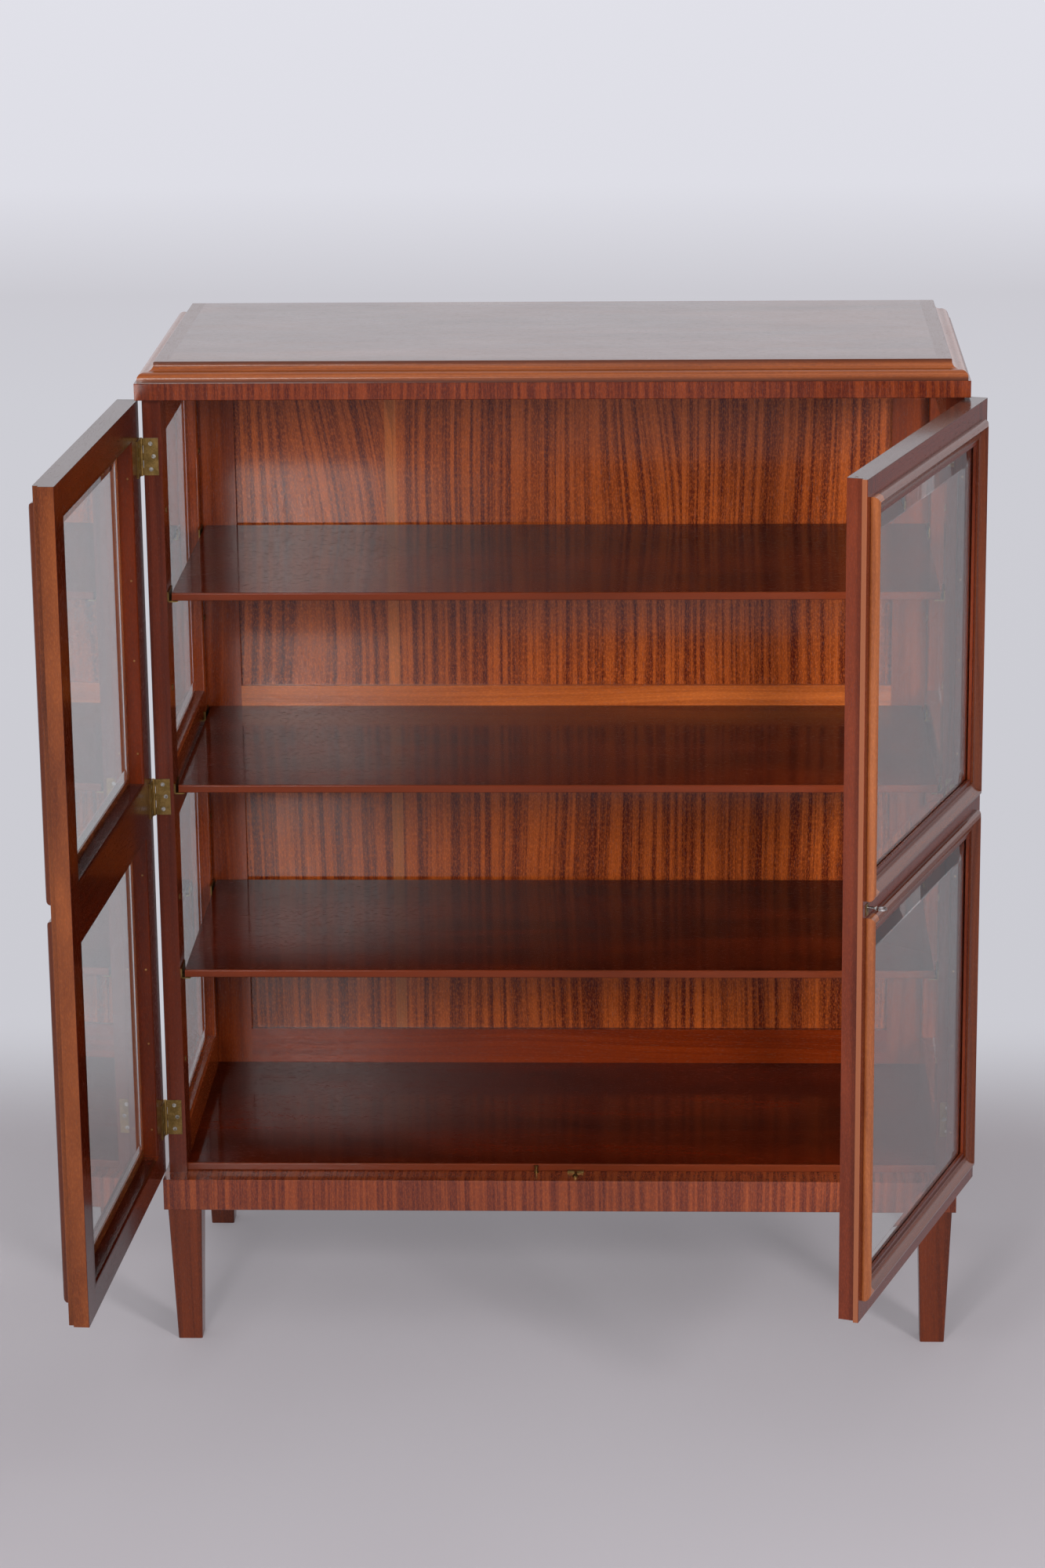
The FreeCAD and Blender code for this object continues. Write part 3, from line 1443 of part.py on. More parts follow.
make_top()
make_carcass()
make_boards()
make_legs()
make_sides()
make_back()
make_shelf_fittings()
make_cabinet_hinges()
make_ledge_metal()
left_door = Door("left", 1, LEFT, s.left_door_reach, s.left_door_reach - s.rebate_step)
right_door = Door("right", -1, RIGHT, right_door_reach, right_door_reach + s.rebate_step)
make_door(left_door)
make_door(right_door)
make_lock(right_door)
doc.recompute()

for item in doc.Objects:
    failed = [state for state in item.State if state in ("Invalid", "Error")]
    if failed:
        raise RuntimeError(f"{item.Label} ({item.Name}) came out {failed[0]}")

for piece in nodes:
    shape = piece.Shape
    if shape.isNull() or not shape.isValid():
        raise RuntimeError(f"{piece.Label} has no valid shape")

for piece in nodes:
    piece.Shape.exportStep(f"parts/{piece.Label}.step")
print(f"{len(nodes)} sub-parts, {sum(len(piece.Shape.Solids) for piece in nodes)} solids")
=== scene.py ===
import json
import math

import bmesh
import bpy
from mathutils import Matrix, Vector


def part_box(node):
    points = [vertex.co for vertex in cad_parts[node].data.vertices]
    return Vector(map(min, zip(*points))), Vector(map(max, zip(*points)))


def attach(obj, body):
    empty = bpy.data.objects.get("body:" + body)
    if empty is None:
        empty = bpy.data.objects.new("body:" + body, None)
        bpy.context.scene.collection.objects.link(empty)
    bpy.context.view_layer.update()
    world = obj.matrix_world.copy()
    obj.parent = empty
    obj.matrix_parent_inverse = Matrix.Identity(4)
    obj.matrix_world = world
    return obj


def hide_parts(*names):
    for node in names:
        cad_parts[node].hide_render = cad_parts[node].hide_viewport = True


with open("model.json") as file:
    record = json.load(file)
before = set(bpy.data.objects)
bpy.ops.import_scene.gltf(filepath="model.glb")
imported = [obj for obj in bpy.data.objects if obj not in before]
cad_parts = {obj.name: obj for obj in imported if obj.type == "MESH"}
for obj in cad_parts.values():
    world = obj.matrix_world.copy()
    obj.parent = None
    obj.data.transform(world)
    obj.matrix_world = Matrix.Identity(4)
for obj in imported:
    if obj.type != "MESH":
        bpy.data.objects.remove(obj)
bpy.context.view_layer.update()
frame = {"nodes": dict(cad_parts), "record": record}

# A glazed mahogany display cabinet with both doors open. Metres, Z up, Y towards the cabinet's back.

MM = 0.001
TRACE = 0.5 * MM  # how near to a face a point still counts as on it
X, Y, Z = range(3)
WHITE = (1.0, 1.0, 1.0, 1.0)


def tint(red, green, blue):
    """A colour given as the eye sees it, 0 to 255, turned into light by the sRGB curve."""
    levels = []
    for level in (red, green, blue):
        share = level / 255
        levels.append(share / 12.92 if share <= 0.04045 else ((share + 0.055) / 1.055) ** 2.4)
    return (*levels, 1.0)


# Places that the finishes need, read from the cabinet itself


class Space:
    """A frame that a pattern is drawn in: its origin and its turn about Z."""

    def __init__(self, origin, turn=0.0):
        self.origin = Vector(origin)
        self.turn = turn

    def into(self, point):
        """A point of the scene, in this space."""
        return Matrix.Rotation(-self.turn, 3, "Z") @ (Vector(point) - self.origin)


def door_space(side, sign):
    """A door's own frame: X from the hinge axis, whatever the door's angle."""
    joints = {joint["name"]: joint for joint in frame["record"]["behaviour"]["joints"]}
    hinge = joints[f"{side}_door_hinge"]
    pin = hinge["pos_m"]
    opened = math.radians(-hinge["range_deg"][0])
    return Space((pin[X], pin[Y], 0), sign * opened)


carcass_low, carcass_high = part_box("top_board")
CABINET = Space(((carcass_low.x + carcass_high.x) / 2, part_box("front_stile_left")[0].y, 0))
LEFT_DOOR = door_space("left", -1)
RIGHT_DOOR = door_space("right", 1)


def extent(node, space):
    """A node's lowest and highest corners in a space."""
    points = [space.into(vertex.co) for vertex in frame["nodes"][node].data.vertices]
    lows = Vector([min(point[axis] for point in points) for axis in (X, Y, Z)])
    highs = Vector([max(point[axis] for point in points) for axis in (X, Y, Z)])
    return lows, highs


# Shader building


class Wire:
    """A shader socket that can stand in a sum."""

    def __init__(self, tree, socket):
        self.tree = tree
        self.socket = socket

    def __add__(self, other):
        return self.tree.math("ADD", self, other)

    __radd__ = __add__

    def __sub__(self, other):
        return self.tree.math("SUBTRACT", self, other)

    def __rsub__(self, other):
        return self.tree.math("SUBTRACT", other, self)

    def __mul__(self, other):
        return self.tree.math("MULTIPLY", self, other)

    __rmul__ = __mul__

    def __truediv__(self, other):
        return self.tree.math("DIVIDE", self, other)


class Tree:
    """A shader tree under construction."""

    def __init__(self, node_tree):
        self.node_tree = node_tree

    def node(self, kind, settings=None, output=0, **inputs):
        """One node: its type, its settings, which output is wanted, and its sockets' values or links.

        The settings, which are set first, may hold a ramp's stops. A socket is named, or numbered as i0, i1 and
        so on.
        """
        node = self.node_tree.nodes.new(kind)
        for name, value in (settings or {}).items():
            if name == "stops":
                self.set_stops(node.color_ramp.elements, value)
            else:
                setattr(node, name, value)
        for name, value in inputs.items():
            key = int(name[1:]) if name[1:].isdigit() else name
            self.plug(node.inputs[key], value)
        return Wire(self, node.outputs[output])

    def plug(self, socket, value):
        if isinstance(value, Wire):
            self.node_tree.links.new(value.socket, socket)
        else:
            socket.default_value = value

    @staticmethod
    def set_stops(elements, stops):
        while len(elements) < len(stops):
            elements.new(0.5)
        for element, (place, colour) in zip(elements, stops):
            element.position = place
            element.color = colour

    def math(self, operation, first, second=0.0):
        return self.node("ShaderNodeMath", {"operation": operation}, i0=first, i1=second)

    def clamp(self, value):
        return self.node("ShaderNodeMath", {"operation": "ADD", "use_clamp": True}, i0=value, i1=0.0)

    def step(self, value, low, high, start=0.0, end=1.0):
        """Start below low, end above high and smooth between."""
        settings = {"interpolation_type": "SMOOTHSTEP"}
        return self.node("ShaderNodeMapRange", settings, i0=value, i1=low, i2=high, i3=start, i4=end)

    def mix(self, factor, first, second, blend="MIX"):
        settings = {"data_type": "RGBA", "blend_type": blend}
        return self.node("ShaderNodeMix", settings, output=2, i0=factor, i6=first, i7=second)

    def tinted(self, colour, amount, other):
        """A colour multiplied by another, by the amount given."""
        return self.mix(amount, colour, other, "MULTIPLY")

    def mix_vector(self, factor, first, second):
        settings = {"data_type": "VECTOR", "factor_mode": "UNIFORM"}
        return self.node("ShaderNodeMix", settings, output=1, i0=factor, i4=first, i5=second)

    def vector(self, x, y, z):
        return self.node("ShaderNodeCombineXYZ", i0=x, i1=y, i2=z)

    def parts(self, vector):
        """A vector's X, Y and Z."""
        split = self.node("ShaderNodeSeparateXYZ", i0=vector).socket.node
        return [Wire(self, split.outputs[axis]) for axis in (X, Y, Z)]

    def noise(self, point, waves, detail, roughness=0.5):
        """A noise at a point of three parts, with so many waves per metre along each part."""
        scaled = self.vector(*(part * count for part, count in zip(point, waves)))
        return self.node(
            "ShaderNodeTexNoise", {"noise_dimensions": "3D"}, Vector=scaled, Scale=1.0, Detail=detail,
            Roughness=roughness
        )

    def ray(self, kind):
        """1 where the ray being traced is of a kind."""
        return self.node("ShaderNodeLightPath", output=f"Is {kind} Ray")


class Finish(Tree):
    """A material under construction."""

    def __init__(self, name, **constants):
        self.material = bpy.data.materials.new(name)
        self.material.use_nodes = True
        super().__init__(self.material.node_tree)
        self.surface = self.node_tree.nodes["Principled BSDF"]
        self.feed(**constants)

    def here(self):
        """The point being shaded, as X, Y and Z in metres."""
        return self.parts(self.node("ShaderNodeTexCoord", output="Object"))

    def place(self, space):
        """The point being shaded, as X, Y and Z in a space."""
        here = self.node("ShaderNodeTexCoord", output="Object")
        turn = (0, 0, -space.turn)
        return self.parts(
            self.node("ShaderNodeMapping", Vector=here, Location=space.into((0, 0, 0)), Rotation=turn)
        )

    def bump(self, height, strength, distance):
        return self.node("ShaderNodeBump", Height=height, Strength=strength, Distance=distance)

    def feed(self, **values):
        """Sets or links the surface's sockets."""
        for socket, value in values.items():
            self.plug(self.surface.inputs[socket.replace("_", " ")], value)
        return self.material

    def mixed_with(self, shader, factor):
        """Sends out the surface mixed with another shader, which stands alone where the factor is 1."""
        surface = Wire(self, self.surface.outputs[0])
        mixed = self.node("ShaderNodeMixShader", i0=factor, i1=surface, i2=shader)
        self.plug(self.node_tree.nodes["Material Output"].inputs["Surface"], mixed)
        return self.material


# Woods


class Figure:
    """How a cut of mahogany looks.

    Light and dark are its colours. Ribbon is the width of its stripes, contrast how much they differ, thin how
    much more of them is dark and waver how far they sway. Fleck is how strong the small marks are. Rough, coat
    and shine are the surface's roughness, lacquer and reflection.
    """

    def __init__(self, light, dark, ribbon, contrast, thin=0.0, waver=4 * MM, fleck=0.35, rough=0.2, coat=0.15,
                 shine=0.38):
        self.light = tint(*light)
        self.dark = tint(*dark)
        self.ribbon = ribbon
        self.contrast = contrast
        self.thin = thin
        self.waver = waver
        self.fleck = fleck
        self.rough = rough
        self.coat = coat
        self.shine = shine


PANEL = Figure((186, 90, 34), (84, 26, 14), ribbon=9 * MM, contrast=0.58, fleck=0.55)
FRIEZE = Figure(
    (156, 76, 38), (86, 34, 27), ribbon=6 * MM, contrast=0.5, thin=0.02, waver=2 * MM, fleck=0.4
)
FRAME = Figure((150, 64, 22), (88, 30, 11), ribbon=14 * MM, contrast=0.4, fleck=0.3)
BEAD = Figure((112, 40, 9), (60, 17, 5), ribbon=12 * MM, contrast=0.45, fleck=0.25, coat=0.0, shine=0.2)
MID_RAIL = Figure((208, 112, 50), (150, 70, 28), ribbon=9 * MM, contrast=0.35, fleck=0.3)
STILE = Figure((112, 46, 24), (66, 22, 12), ribbon=12 * MM, contrast=0.35, fleck=0.25, shine=0.3)
LEFT_DOOR_FACE = Figure((146, 78, 38), (88, 40, 20), ribbon=9 * MM, contrast=0.5, fleck=0.3, shine=0.25)
RIGHT_DOOR_FACE = Figure((138, 62, 34), (92, 36, 20), ribbon=8 * MM, contrast=0.4, fleck=0.3, shine=0.25)
SHELF = Figure(
    (100, 28, 6), (52, 12, 4), ribbon=13 * MM, contrast=0.5, fleck=0.25, rough=0.1, coat=0.0, shine=0.15
)
TOP = Figure((128, 76, 52), (88, 48, 33), ribbon=18 * MM, contrast=0.45, rough=0.3, coat=0.5)
CORNICE = Figure((180, 96, 42), (126, 60, 24), ribbon=9 * MM, contrast=0.25, fleck=0.25, rough=0.3, coat=0.4)
LEG = Figure((122, 52, 20), (78, 30, 11), ribbon=12 * MM, contrast=0.45)
MOULDING = Figure((186, 110, 62), (124, 64, 34), ribbon=7 * MM, contrast=0.35, fleck=0.25)

COAT_ROUGHNESS = 0.08

# The wood's noises: waves per metre across, through and along the grain, then detail and roughness. The ribbons
# are counted across in ribbon widths, not metres.
DRIFT = ((3.1, 3.1, 1.7), 1.0)
RIBBONS = ((1.0, 9, 0.9), 2.0, 0.55)
LINES = ((420, 60, 4.0), 2.5, 0.6)
MOTTLE = ((190, 190, 75), 3.0, 0.62)
DASHES = ((640, 640, 210), 1.5, 0.6)
PORES = ((1500, 1500, 95), 2.0)
CLOUD = ((5.0, 5.0, 2.2), 2.0)
SMEAR = ((22, 22, 9), 3.0)

# The levels of a noise between which it turns from dark to light, or its marks come up
BAND_EDGES = (0.37, 0.63)
DASH_EDGES = (0.42, 0.72)
PORE_EDGES = (0.6, 0.72)
CLOUD_EDGES = (0.3, 0.7)

DRIFT_REACH = 12  # in wavers
LINE_SHARE = 0.7
DASH_SHARE = 0.9
DASH_MEAN = 0.35
CLOUD_SHARE = 0.5
PORE_SHARE = 0.35
CLOUD_SHADE = (0.68, 0.6, 0.56, 1)
PORE_SHADE = tint(96, 56, 44)

# How much each noise adds to the roughness and to the relief
MOTTLE_ROUGHNESS = 0.08
SMEAR_ROUGHNESS = 0.1
PORE_ROUGHNESS = 0.2
MOTTLE_HEIGHT = 0.5
LINE_HEIGHT = 0.3
PORE_HEIGHT = -0.6
RELIEF_STRENGTH = 0.16
RELIEF_DEPTH = 0.25 * MM


def wood(name, cut, grain, colour_marks=None):
    """A polished mahogany. Grain gives across, depth and along; colour_marks may add marks to the colour."""
    finish = Finish(name, Coat_Weight=cut.coat, Coat_Roughness=COAT_ROUGHNESS, Specular_IOR_Level=cut.shine)
    across, depth, length = straight_point = grain(finish)
    swayed = across + (finish.noise(straight_point, *DRIFT) - 0.5) * (DRIFT_REACH * cut.waver)
    swayed_point = (swayed, depth, length)
    lines = finish.noise(swayed_point, *LINES) - 0.5
    mottle = finish.noise(straight_point, *MOTTLE) - 0.5
    pores = finish.step(finish.noise(swayed_point, *PORES), *PORE_EDGES)

    ribbons = finish.noise((swayed / cut.ribbon, depth, length), *RIBBONS)
    bands = finish.step(ribbons, *(edge + cut.thin for edge in BAND_EDGES)) - 0.5
    dashes = finish.step(finish.noise(swayed_point, *DASHES), *DASH_EDGES) - DASH_MEAN
    blend = 0.5 + bands * cut.contrast + lines * LINE_SHARE + mottle * cut.fleck
    blend = blend + dashes * (cut.fleck * DASH_SHARE)
    colour = finish.mix(finish.clamp(blend), cut.dark, cut.light)
    cloud = finish.step(finish.noise(straight_point, *CLOUD), *CLOUD_EDGES)
    colour = finish.tinted(colour, CLOUD_SHARE, finish.mix(cloud, CLOUD_SHADE, WHITE))
    colour = finish.tinted(colour, pores * PORE_SHARE, PORE_SHADE)
    if colour_marks:
        colour = colour_marks(finish, colour)

    smear = finish.noise(straight_point, *SMEAR) - 0.5
    rough = cut.rough + mottle * MOTTLE_ROUGHNESS + smear * SMEAR_ROUGHNESS + pores * PORE_ROUGHNESS
    relief = mottle * MOTTLE_HEIGHT + lines * LINE_HEIGHT + pores * PORE_HEIGHT
    return finish.feed(
        Base_Color=colour, Roughness=finish.clamp(rough),
        Normal=finish.bump(relief, RELIEF_STRENGTH, RELIEF_DEPTH)
    )


# Grains: which way the wood runs


def along(point, run):
    """A point's parts as across, depth and along, for grain that runs along X, Y or Z."""
    x, y, z = point
    return {X: (z, y, x), Y: (x, z, y), Z: (x, y, z)}[run]


def straight(space, run):
    """Grain along one axis of a space."""
    return lambda finish: along(finish.place(space), run)


def turned_upright(finish):
    """Upright grain for the cabinet's side faces, whose ribbons follow one another along Y."""
    x, y, z = finish.place(CABINET)
    return y, x, z


def framed(node, space, flat_run):
    """Grain along each strip of two rectangular rings, one above the other, changing at the mitres."""
    low, high = extent(node, space)
    ring_ends = (low.z, (low.z + high.z) / 2, high.z)

    def grain(finish):
        point = finish.place(space)
        side = point[flat_run]
        to_side = finish.math("MINIMUM", side - low[flat_run], high[flat_run] - side)
        bottom, middle, top = (finish.math("ABSOLUTE", point[Z] - end) for end in ring_ends)
        to_end = finish.math("MINIMUM", finish.math("MINIMUM", bottom, middle), top)
        upright = finish.math("LESS_THAN", to_side, to_end)
        lying = finish.vector(*along(point, flat_run))
        standing = finish.vector(*along(point, Z))
        return finish.parts(finish.mix_vector(upright, lying, standing))

    return grain


# The leaves of veneer that lean: where the lean sets in, is full and ends across the cabinet, and its slope
LEANING_LEAVES = (
    (-470 * MM, -300 * MM, -243 * MM, 0.27),
    (20 * MM, 140 * MM, 170 * MM, 0.15),
)
LEAF_BEND = 1.2


def leaning(node, space):
    """Upright grain in leaves of veneer, some of which lean and bend away from upright below their top."""
    top = extent(node, space)[1].z

    def grain(finish):
        x, y, z = finish.place(space)
        slope = 0.0
        for start, full, end, lean in LEANING_LEAVES:
            slope = slope + finish.step(x, start, full) * finish.math("LESS_THAN", x, end) * lean
        below = z - top
        return x + slope * (below + below * below * LEAF_BEND), y, z

    return grain


# Colour marks: a test gives 1 where a mark lies, and a change lays the mark over the colour there


def marked(space, *marks):
    """The marks, pairs of a test and a change, laid over a colour one after another."""

    def lay(finish, colour):
        point = finish.place(space)
        for test, change in marks:
            colour = change(finish, colour, test(finish, point))
        return colour

    return lay


def beyond(axis, place):
    return lambda finish, point: finish.math("GREATER_THAN", point[axis], place)


def short_of(axis, place):
    return lambda finish, point: finish.math("LESS_THAN", point[axis], place)


def both(first, second):
    return lambda finish, point: first(finish, point) * second(finish, point)


def between(axis, low, high):
    return both(beyond(axis, low), short_of(axis, high))


def near_levels(low, high, reach):
    """1 at two levels, fading to 0 over the reach from each."""

    def test(finish, point):
        gap = finish.math("MINIMUM", point[Z] - low, high - point[Z])
        return 1 - finish.step(gap, 0.0, reach)

    return test


def darkened_by(red, green, blue):
    """Multiplies the colour below by another."""
    return lambda finish, below, mask: finish.tinted(below, mask, tint(red, green, blue))


def toned(red, green, blue, amount):
    """Draws the colour below towards another, by an amount."""
    return lambda finish, below, mask: finish.mix(mask * amount, below, tint(red, green, blue))


# Metals and glass. Their noises are waves per metre along X, Y and Z, then detail and roughness.

BRASS_PATCHES = ((90, 90, 90), 4.0, 0.6)
BRASS_GRIME = ((420, 420, 420), 3.0, 0.6)
BRASS_WORN_EDGES = (0.36, 0.66)
BRASS_ROUGHNESS = 0.46
BRASS_WORN_POLISH = 0.18
STEEL_WEAR = ((260, 260, 260), 3.0, 0.55)
STEEL_WEAR_EDGES = (0.35, 0.65)
STEEL_SCRATCHES = ((900, 900, 2600), 2.0)
GLASS_DUST = ((30, 30, 30), 3.0)
GLASS_DUST_EDGES = (0.3, 0.7)
GLASS_SMEAR_EDGES = (0.45, 0.8)
GLASS_SMEAR_ROUGHNESS = 0.006


def aged_brass():
    finish = Finish("aged_brass", Metallic=1.0)
    point = finish.here()
    patches = finish.noise(point, *BRASS_PATCHES)
    grime = finish.noise(point, *BRASS_GRIME)
    worn = finish.step(patches * 0.7 + grime * 0.3, *BRASS_WORN_EDGES)
    return finish.feed(
        Base_Color=finish.mix(worn, tint(118, 94, 52), tint(164, 134, 80)),
        Roughness=BRASS_ROUGHNESS - worn * BRASS_WORN_POLISH + (grime - 0.5) * 0.15,
        Normal=finish.bump(grime, strength=0.12, distance=0.2 * MM)
    )


def bright_steel(name, light, dark, rough):
    finish = Finish(name, Metallic=1.0)
    point = finish.here()
    wear = finish.noise(point, *STEEL_WEAR)
    scratches = finish.noise(point, *STEEL_SCRATCHES)
    return finish.feed(
        Base_Color=finish.mix(finish.step(wear, *STEEL_WEAR_EDGES), tint(*dark), tint(*light)),
        Roughness=rough + (wear - 0.5) * 0.15 + (scratches - 0.5) * 0.1,
        Normal=finish.bump(scratches, strength=0.08, distance=0.1 * MM)
    )


def clear_glass():
    """Slightly green plate glass that lets light rays through, with a trace of dust."""
    finish = Finish("bevelled_glass", Transmission_Weight=1.0, IOR=1.5)
    dust = finish.noise(finish.here(), *GLASS_DUST)
    dusty, clean = (0.93, 0.96, 0.945, 1), (0.955, 0.975, 0.965, 1)
    finish.feed(
        Base_Color=finish.mix(finish.step(dust, *GLASS_DUST_EDGES), dusty, clean),
        Roughness=finish.step(dust, *GLASS_SMEAR_EDGES) * GLASS_SMEAR_ROUGHNESS
    )
    clear = finish.node("ShaderNodeBsdfTransparent", Color=(0.94, 0.96, 0.95, 1))
    return finish.mixed_with(clear, finish.ray("Shadow"))


# Which piece wears what


def dress(material, *nodes):
    """Gives CAD nodes a finish."""
    for name in nodes:
        slots = frame["nodes"][name].material_slots
        if not slots:
            frame["nodes"][name].data.materials.append(material)
        for slot in slots:
            slot.material = material


SEAM = (-253 * MM, -237 * MM)  # the joint between two leaves of the back's veneer, where light lies on it
BELOW_MIDDLE_RAIL = 400 * MM  # levels that tell the back's three rails apart
ABOVE_MIDDLE_RAIL = 900 * MM


def dress_back():
    seam_lit = marked(CABINET, (between(X, *SEAM), toned(206, 122, 62, 0.34)))
    leaves = leaning("back_panel_upper", CABINET)
    dress(wood("back_panel_upper_ribbon", PANEL, leaves, seam_lit), "back_panel_upper")
    dress(wood("back_panel_lower_ribbon", PANEL, straight(CABINET, Z), seam_lit), "back_panel_lower")
    shaded_rails = marked(
        CABINET,
        (beyond(Z, ABOVE_MIDDLE_RAIL), darkened_by(150, 128, 118)),
        (short_of(Z, BELOW_MIDDLE_RAIL), darkened_by(168, 120, 84)),
    )
    dress(wood("back_rail_mahogany", MID_RAIL, straight(CABINET, X), shaded_rails), "back_rails")


def dress_friezes():
    # The top frieze is made darker than the base frieze.
    top_frieze_darker = marked(CABINET, (beyond(Z, carcass_high.z / 2), darkened_by(232, 214, 196)))
    for side, grain in (("front", straight(CABINET, Z)), ("sides", turned_upright)):
        frieze = wood(f"ribbon_frieze_{side}", FRIEZE, grain, top_frieze_darker)
        dress(frieze, f"top_frieze_{side}", f"base_frieze_{side}")


def dress_carcass():
    for name, cut, run, nodes in (
        ("front_stile_mahogany", STILE, Z, ("front_stile_left", "front_stile_right")),
        ("upright_mahogany", FRAME, Z, ("rear_stiles", "back_stiles")),
        ("crosswise_mahogany", FRAME, X, ("base_rail_back",)),
        ("sideways_mahogany", FRAME, Y, ("side_rails_left", "side_rails_right")),
        ("top_mahogany", TOP, X, ("top_board",)),
        ("leg_mahogany", LEG, Z, ("front_legs", "rear_legs")),
    ):
        dress(wood(name, cut, straight(CABINET, run)), *nodes)


SHELF_EDGE = 2 * MM


def dress_shelves():
    front = extent("shelf_upper", CABINET)[0].y
    edge_lit = marked(CABINET, (short_of(Y, front + SHELF_EDGE), toned(118, 54, 30, 0.6)))
    dress(
        wood("shelf_mahogany", SHELF, straight(CABINET, X), edge_lit),
        "shelf_upper", "shelf_middle", "shelf_lower", "bottom_board", "carcass_top"
    )


CORNICE_SHADE_REACH = 9 * MM


def dress_cornice():
    low, high = extent("cornice_front", CABINET)
    shaded = marked(
        CABINET,
        (near_levels(low.z, high.z, CORNICE_SHADE_REACH), toned(60, 24, 14, 0.85)),
        (beyond(Z, carcass_high.z - TRACE), toned(104, 60, 42, 0.95)),
    )
    dress(wood("cornice_front_mahogany", CORNICE, straight(CABINET, X), shaded), "cornice_front")
    dress(wood("cornice_side_mahogany", CORNICE, straight(CABINET, Y), shaded), "cornice_sides")


LIP_DEPTH = 6.8 * MM
MOULDING_WIDTH = 22 * MM


def door_marks(side, space):
    """A greyer, darker top edge, and the left door's darker inside or the right door's lip and darker front."""
    low, high = extent(f"{side}_door_rails", space)
    top_edge = (beyond(Z, high.z - TRACE), toned(84, 60, 52, 0.9))
    if side == "left":
        return marked(space, top_edge, (beyond(Y, high.y - TRACE), darkened_by(140, 86, 52)))
    free_edge = extent("right_door_meeting_stile", space)[0].x
    on_edge = between(X, free_edge - TRACE, free_edge + TRACE)
    lip = both(on_edge, between(Y, low.y + TRACE, low.y + LIP_DEPTH))
    front = short_of(Y, low.y + TRACE)
    return marked(space, top_edge, (lip, toned(160, 98, 66, 0.75)), (front, darkened_by(220, 186, 164)))


def dress_door(side, space, cut):
    marks = door_marks(side, space)
    dress(
        wood(f"{side}_door_upright", cut, straight(space, Z), marks),
        f"{side}_door_hinge_stile", f"{side}_door_meeting_stile"
    )
    dress(wood(f"{side}_door_rail", cut, straight(space, X), marks), f"{side}_door_rails")
    for node, ring_cut in ((f"{side}_door_mouldings", MOULDING), (f"{side}_door_beads", BEAD)):
        low, high = extent(node, space)
        # Past the first strip, the mouldings and beads are painted darker: painted shade.
        past_first_strip = between(X, low.x + MOULDING_WIDTH, high.x + TRACE)
        shaded = marked(space, (past_first_strip, darkened_by(170, 146, 140)))
        dress(wood(f"{node}_mahogany", ring_cut, framed(node, space, X), shaded), node)


def dress_side_beads(node):
    dress(wood(f"{node}_mahogany", FRAME, framed(node, CABINET, Y)), node)


def dress_glass_and_metal():
    dress(clear_glass(), "side_glass_left", "side_glass_right", "left_door_glass", "right_door_glass")
    dress(
        aged_brass(), "cabinet_hinge_leaves", "left_door_hinge_leaves", "right_door_hinge_leaves", "hinge_pins",
        "keyhole_escutcheon", "door_stop_peg", "bolt_strike_lower", "bolt_strike_upper", "shelf_clips",
        "shelf_sockets", "left_door_bead_pins", "right_door_bead_pins", "lock_case"
    )
    dress(
        bright_steel("bright_steel", (225, 224, 222), (150, 148, 144), rough=0.2),
        "key", "lock_follower", "bolt_lower", "bolt_upper"
    )


dress_back()
dress_friezes()
dress_carcass()
dress_shelves()
dress_cornice()
dress_door("left", LEFT_DOOR, LEFT_DOOR_FACE)
dress_door("right", RIGHT_DOOR, RIGHT_DOOR_FACE)
dress_side_beads("side_beads_left")
dress_side_beads("side_beads_right")
dress_glass_and_metal()
screw_steel = bright_steel("screw_steel", (212, 209, 204), (130, 126, 118), rough=0.32)
dress(screw_steel, "cabinet_hinge_screws", "left_door_hinge_screws", "right_door_hinge_screws")


# Hinge screws, each with a countersunk slotted head

HEAD_RADIUS = 2.9 * MM
HEAD_SIDES = 24
NECK_RADIUS = 1.3 * MM
HEAD_DEPTH = 1.7 * MM
HEAD_RIM = 0.3 * MM
SLOT_WIDTH = 0.8 * MM
SLOT_DEPTH = 0.7 * MM
FIRST_SLOT_DEG = 20
NEXT_SLOT_DEG = 37
SCREW_REACH = 2.2 * HEAD_RADIUS  # points nearer than this to one another are of one screw
FACING_UP = 0.9


def choose_faces(body, wanted):
    """Selects the faces that pass a test, of an object in edit mode."""
    mesh = bmesh.from_edit_mesh(body.data)
    for face in mesh.faces:
        face.select = wanted(face)
    mesh.select_flush_mode()
    bmesh.update_edit_mesh(body.data)


def on_top(face):
    return face.normal.z > FACING_UP


def inside_rim(face):
    reach = max(math.hypot(vertex.co.x, vertex.co.y) for vertex in face.verts)
    return on_top(face) and reach < HEAD_RADIUS - HEAD_RIM / 2


def in_slot(face):
    return inside_rim(face) and abs(face.calc_center_median().x) < SLOT_WIDTH / 4


def slotted_screw():
    """A screw head whose face is at the origin and looks along Z."""
    bpy.ops.object.select_all(action="DESELECT")
    bpy.ops.mesh.primitive_cone_add(
        vertices=HEAD_SIDES, radius1=NECK_RADIUS, radius2=HEAD_RADIUS, depth=HEAD_DEPTH,
        location=(0, 0, -HEAD_DEPTH / 2)
    )
    screw = bpy.context.object
    bpy.ops.object.transform_apply(location=True, rotation=True, scale=True)
    bpy.ops.object.mode_set(mode="EDIT")
    bpy.ops.mesh.select_mode(type="FACE")
    choose_faces(screw, on_top)
    bpy.ops.mesh.inset(thickness=HEAD_RIM, depth=0)
    for side in (-1, 1):
        choose_faces(screw, inside_rim)
        bpy.ops.mesh.bisect(plane_co=(side * SLOT_WIDTH / 2, 0, 0), plane_no=(1, 0, 0))
    choose_faces(screw, in_slot)
    bpy.ops.mesh.extrude_region_move(TRANSFORM_OT_translate={"value": (0, 0, -SLOT_DEPTH)})
    bpy.ops.object.mode_set(mode="OBJECT")
    return screw


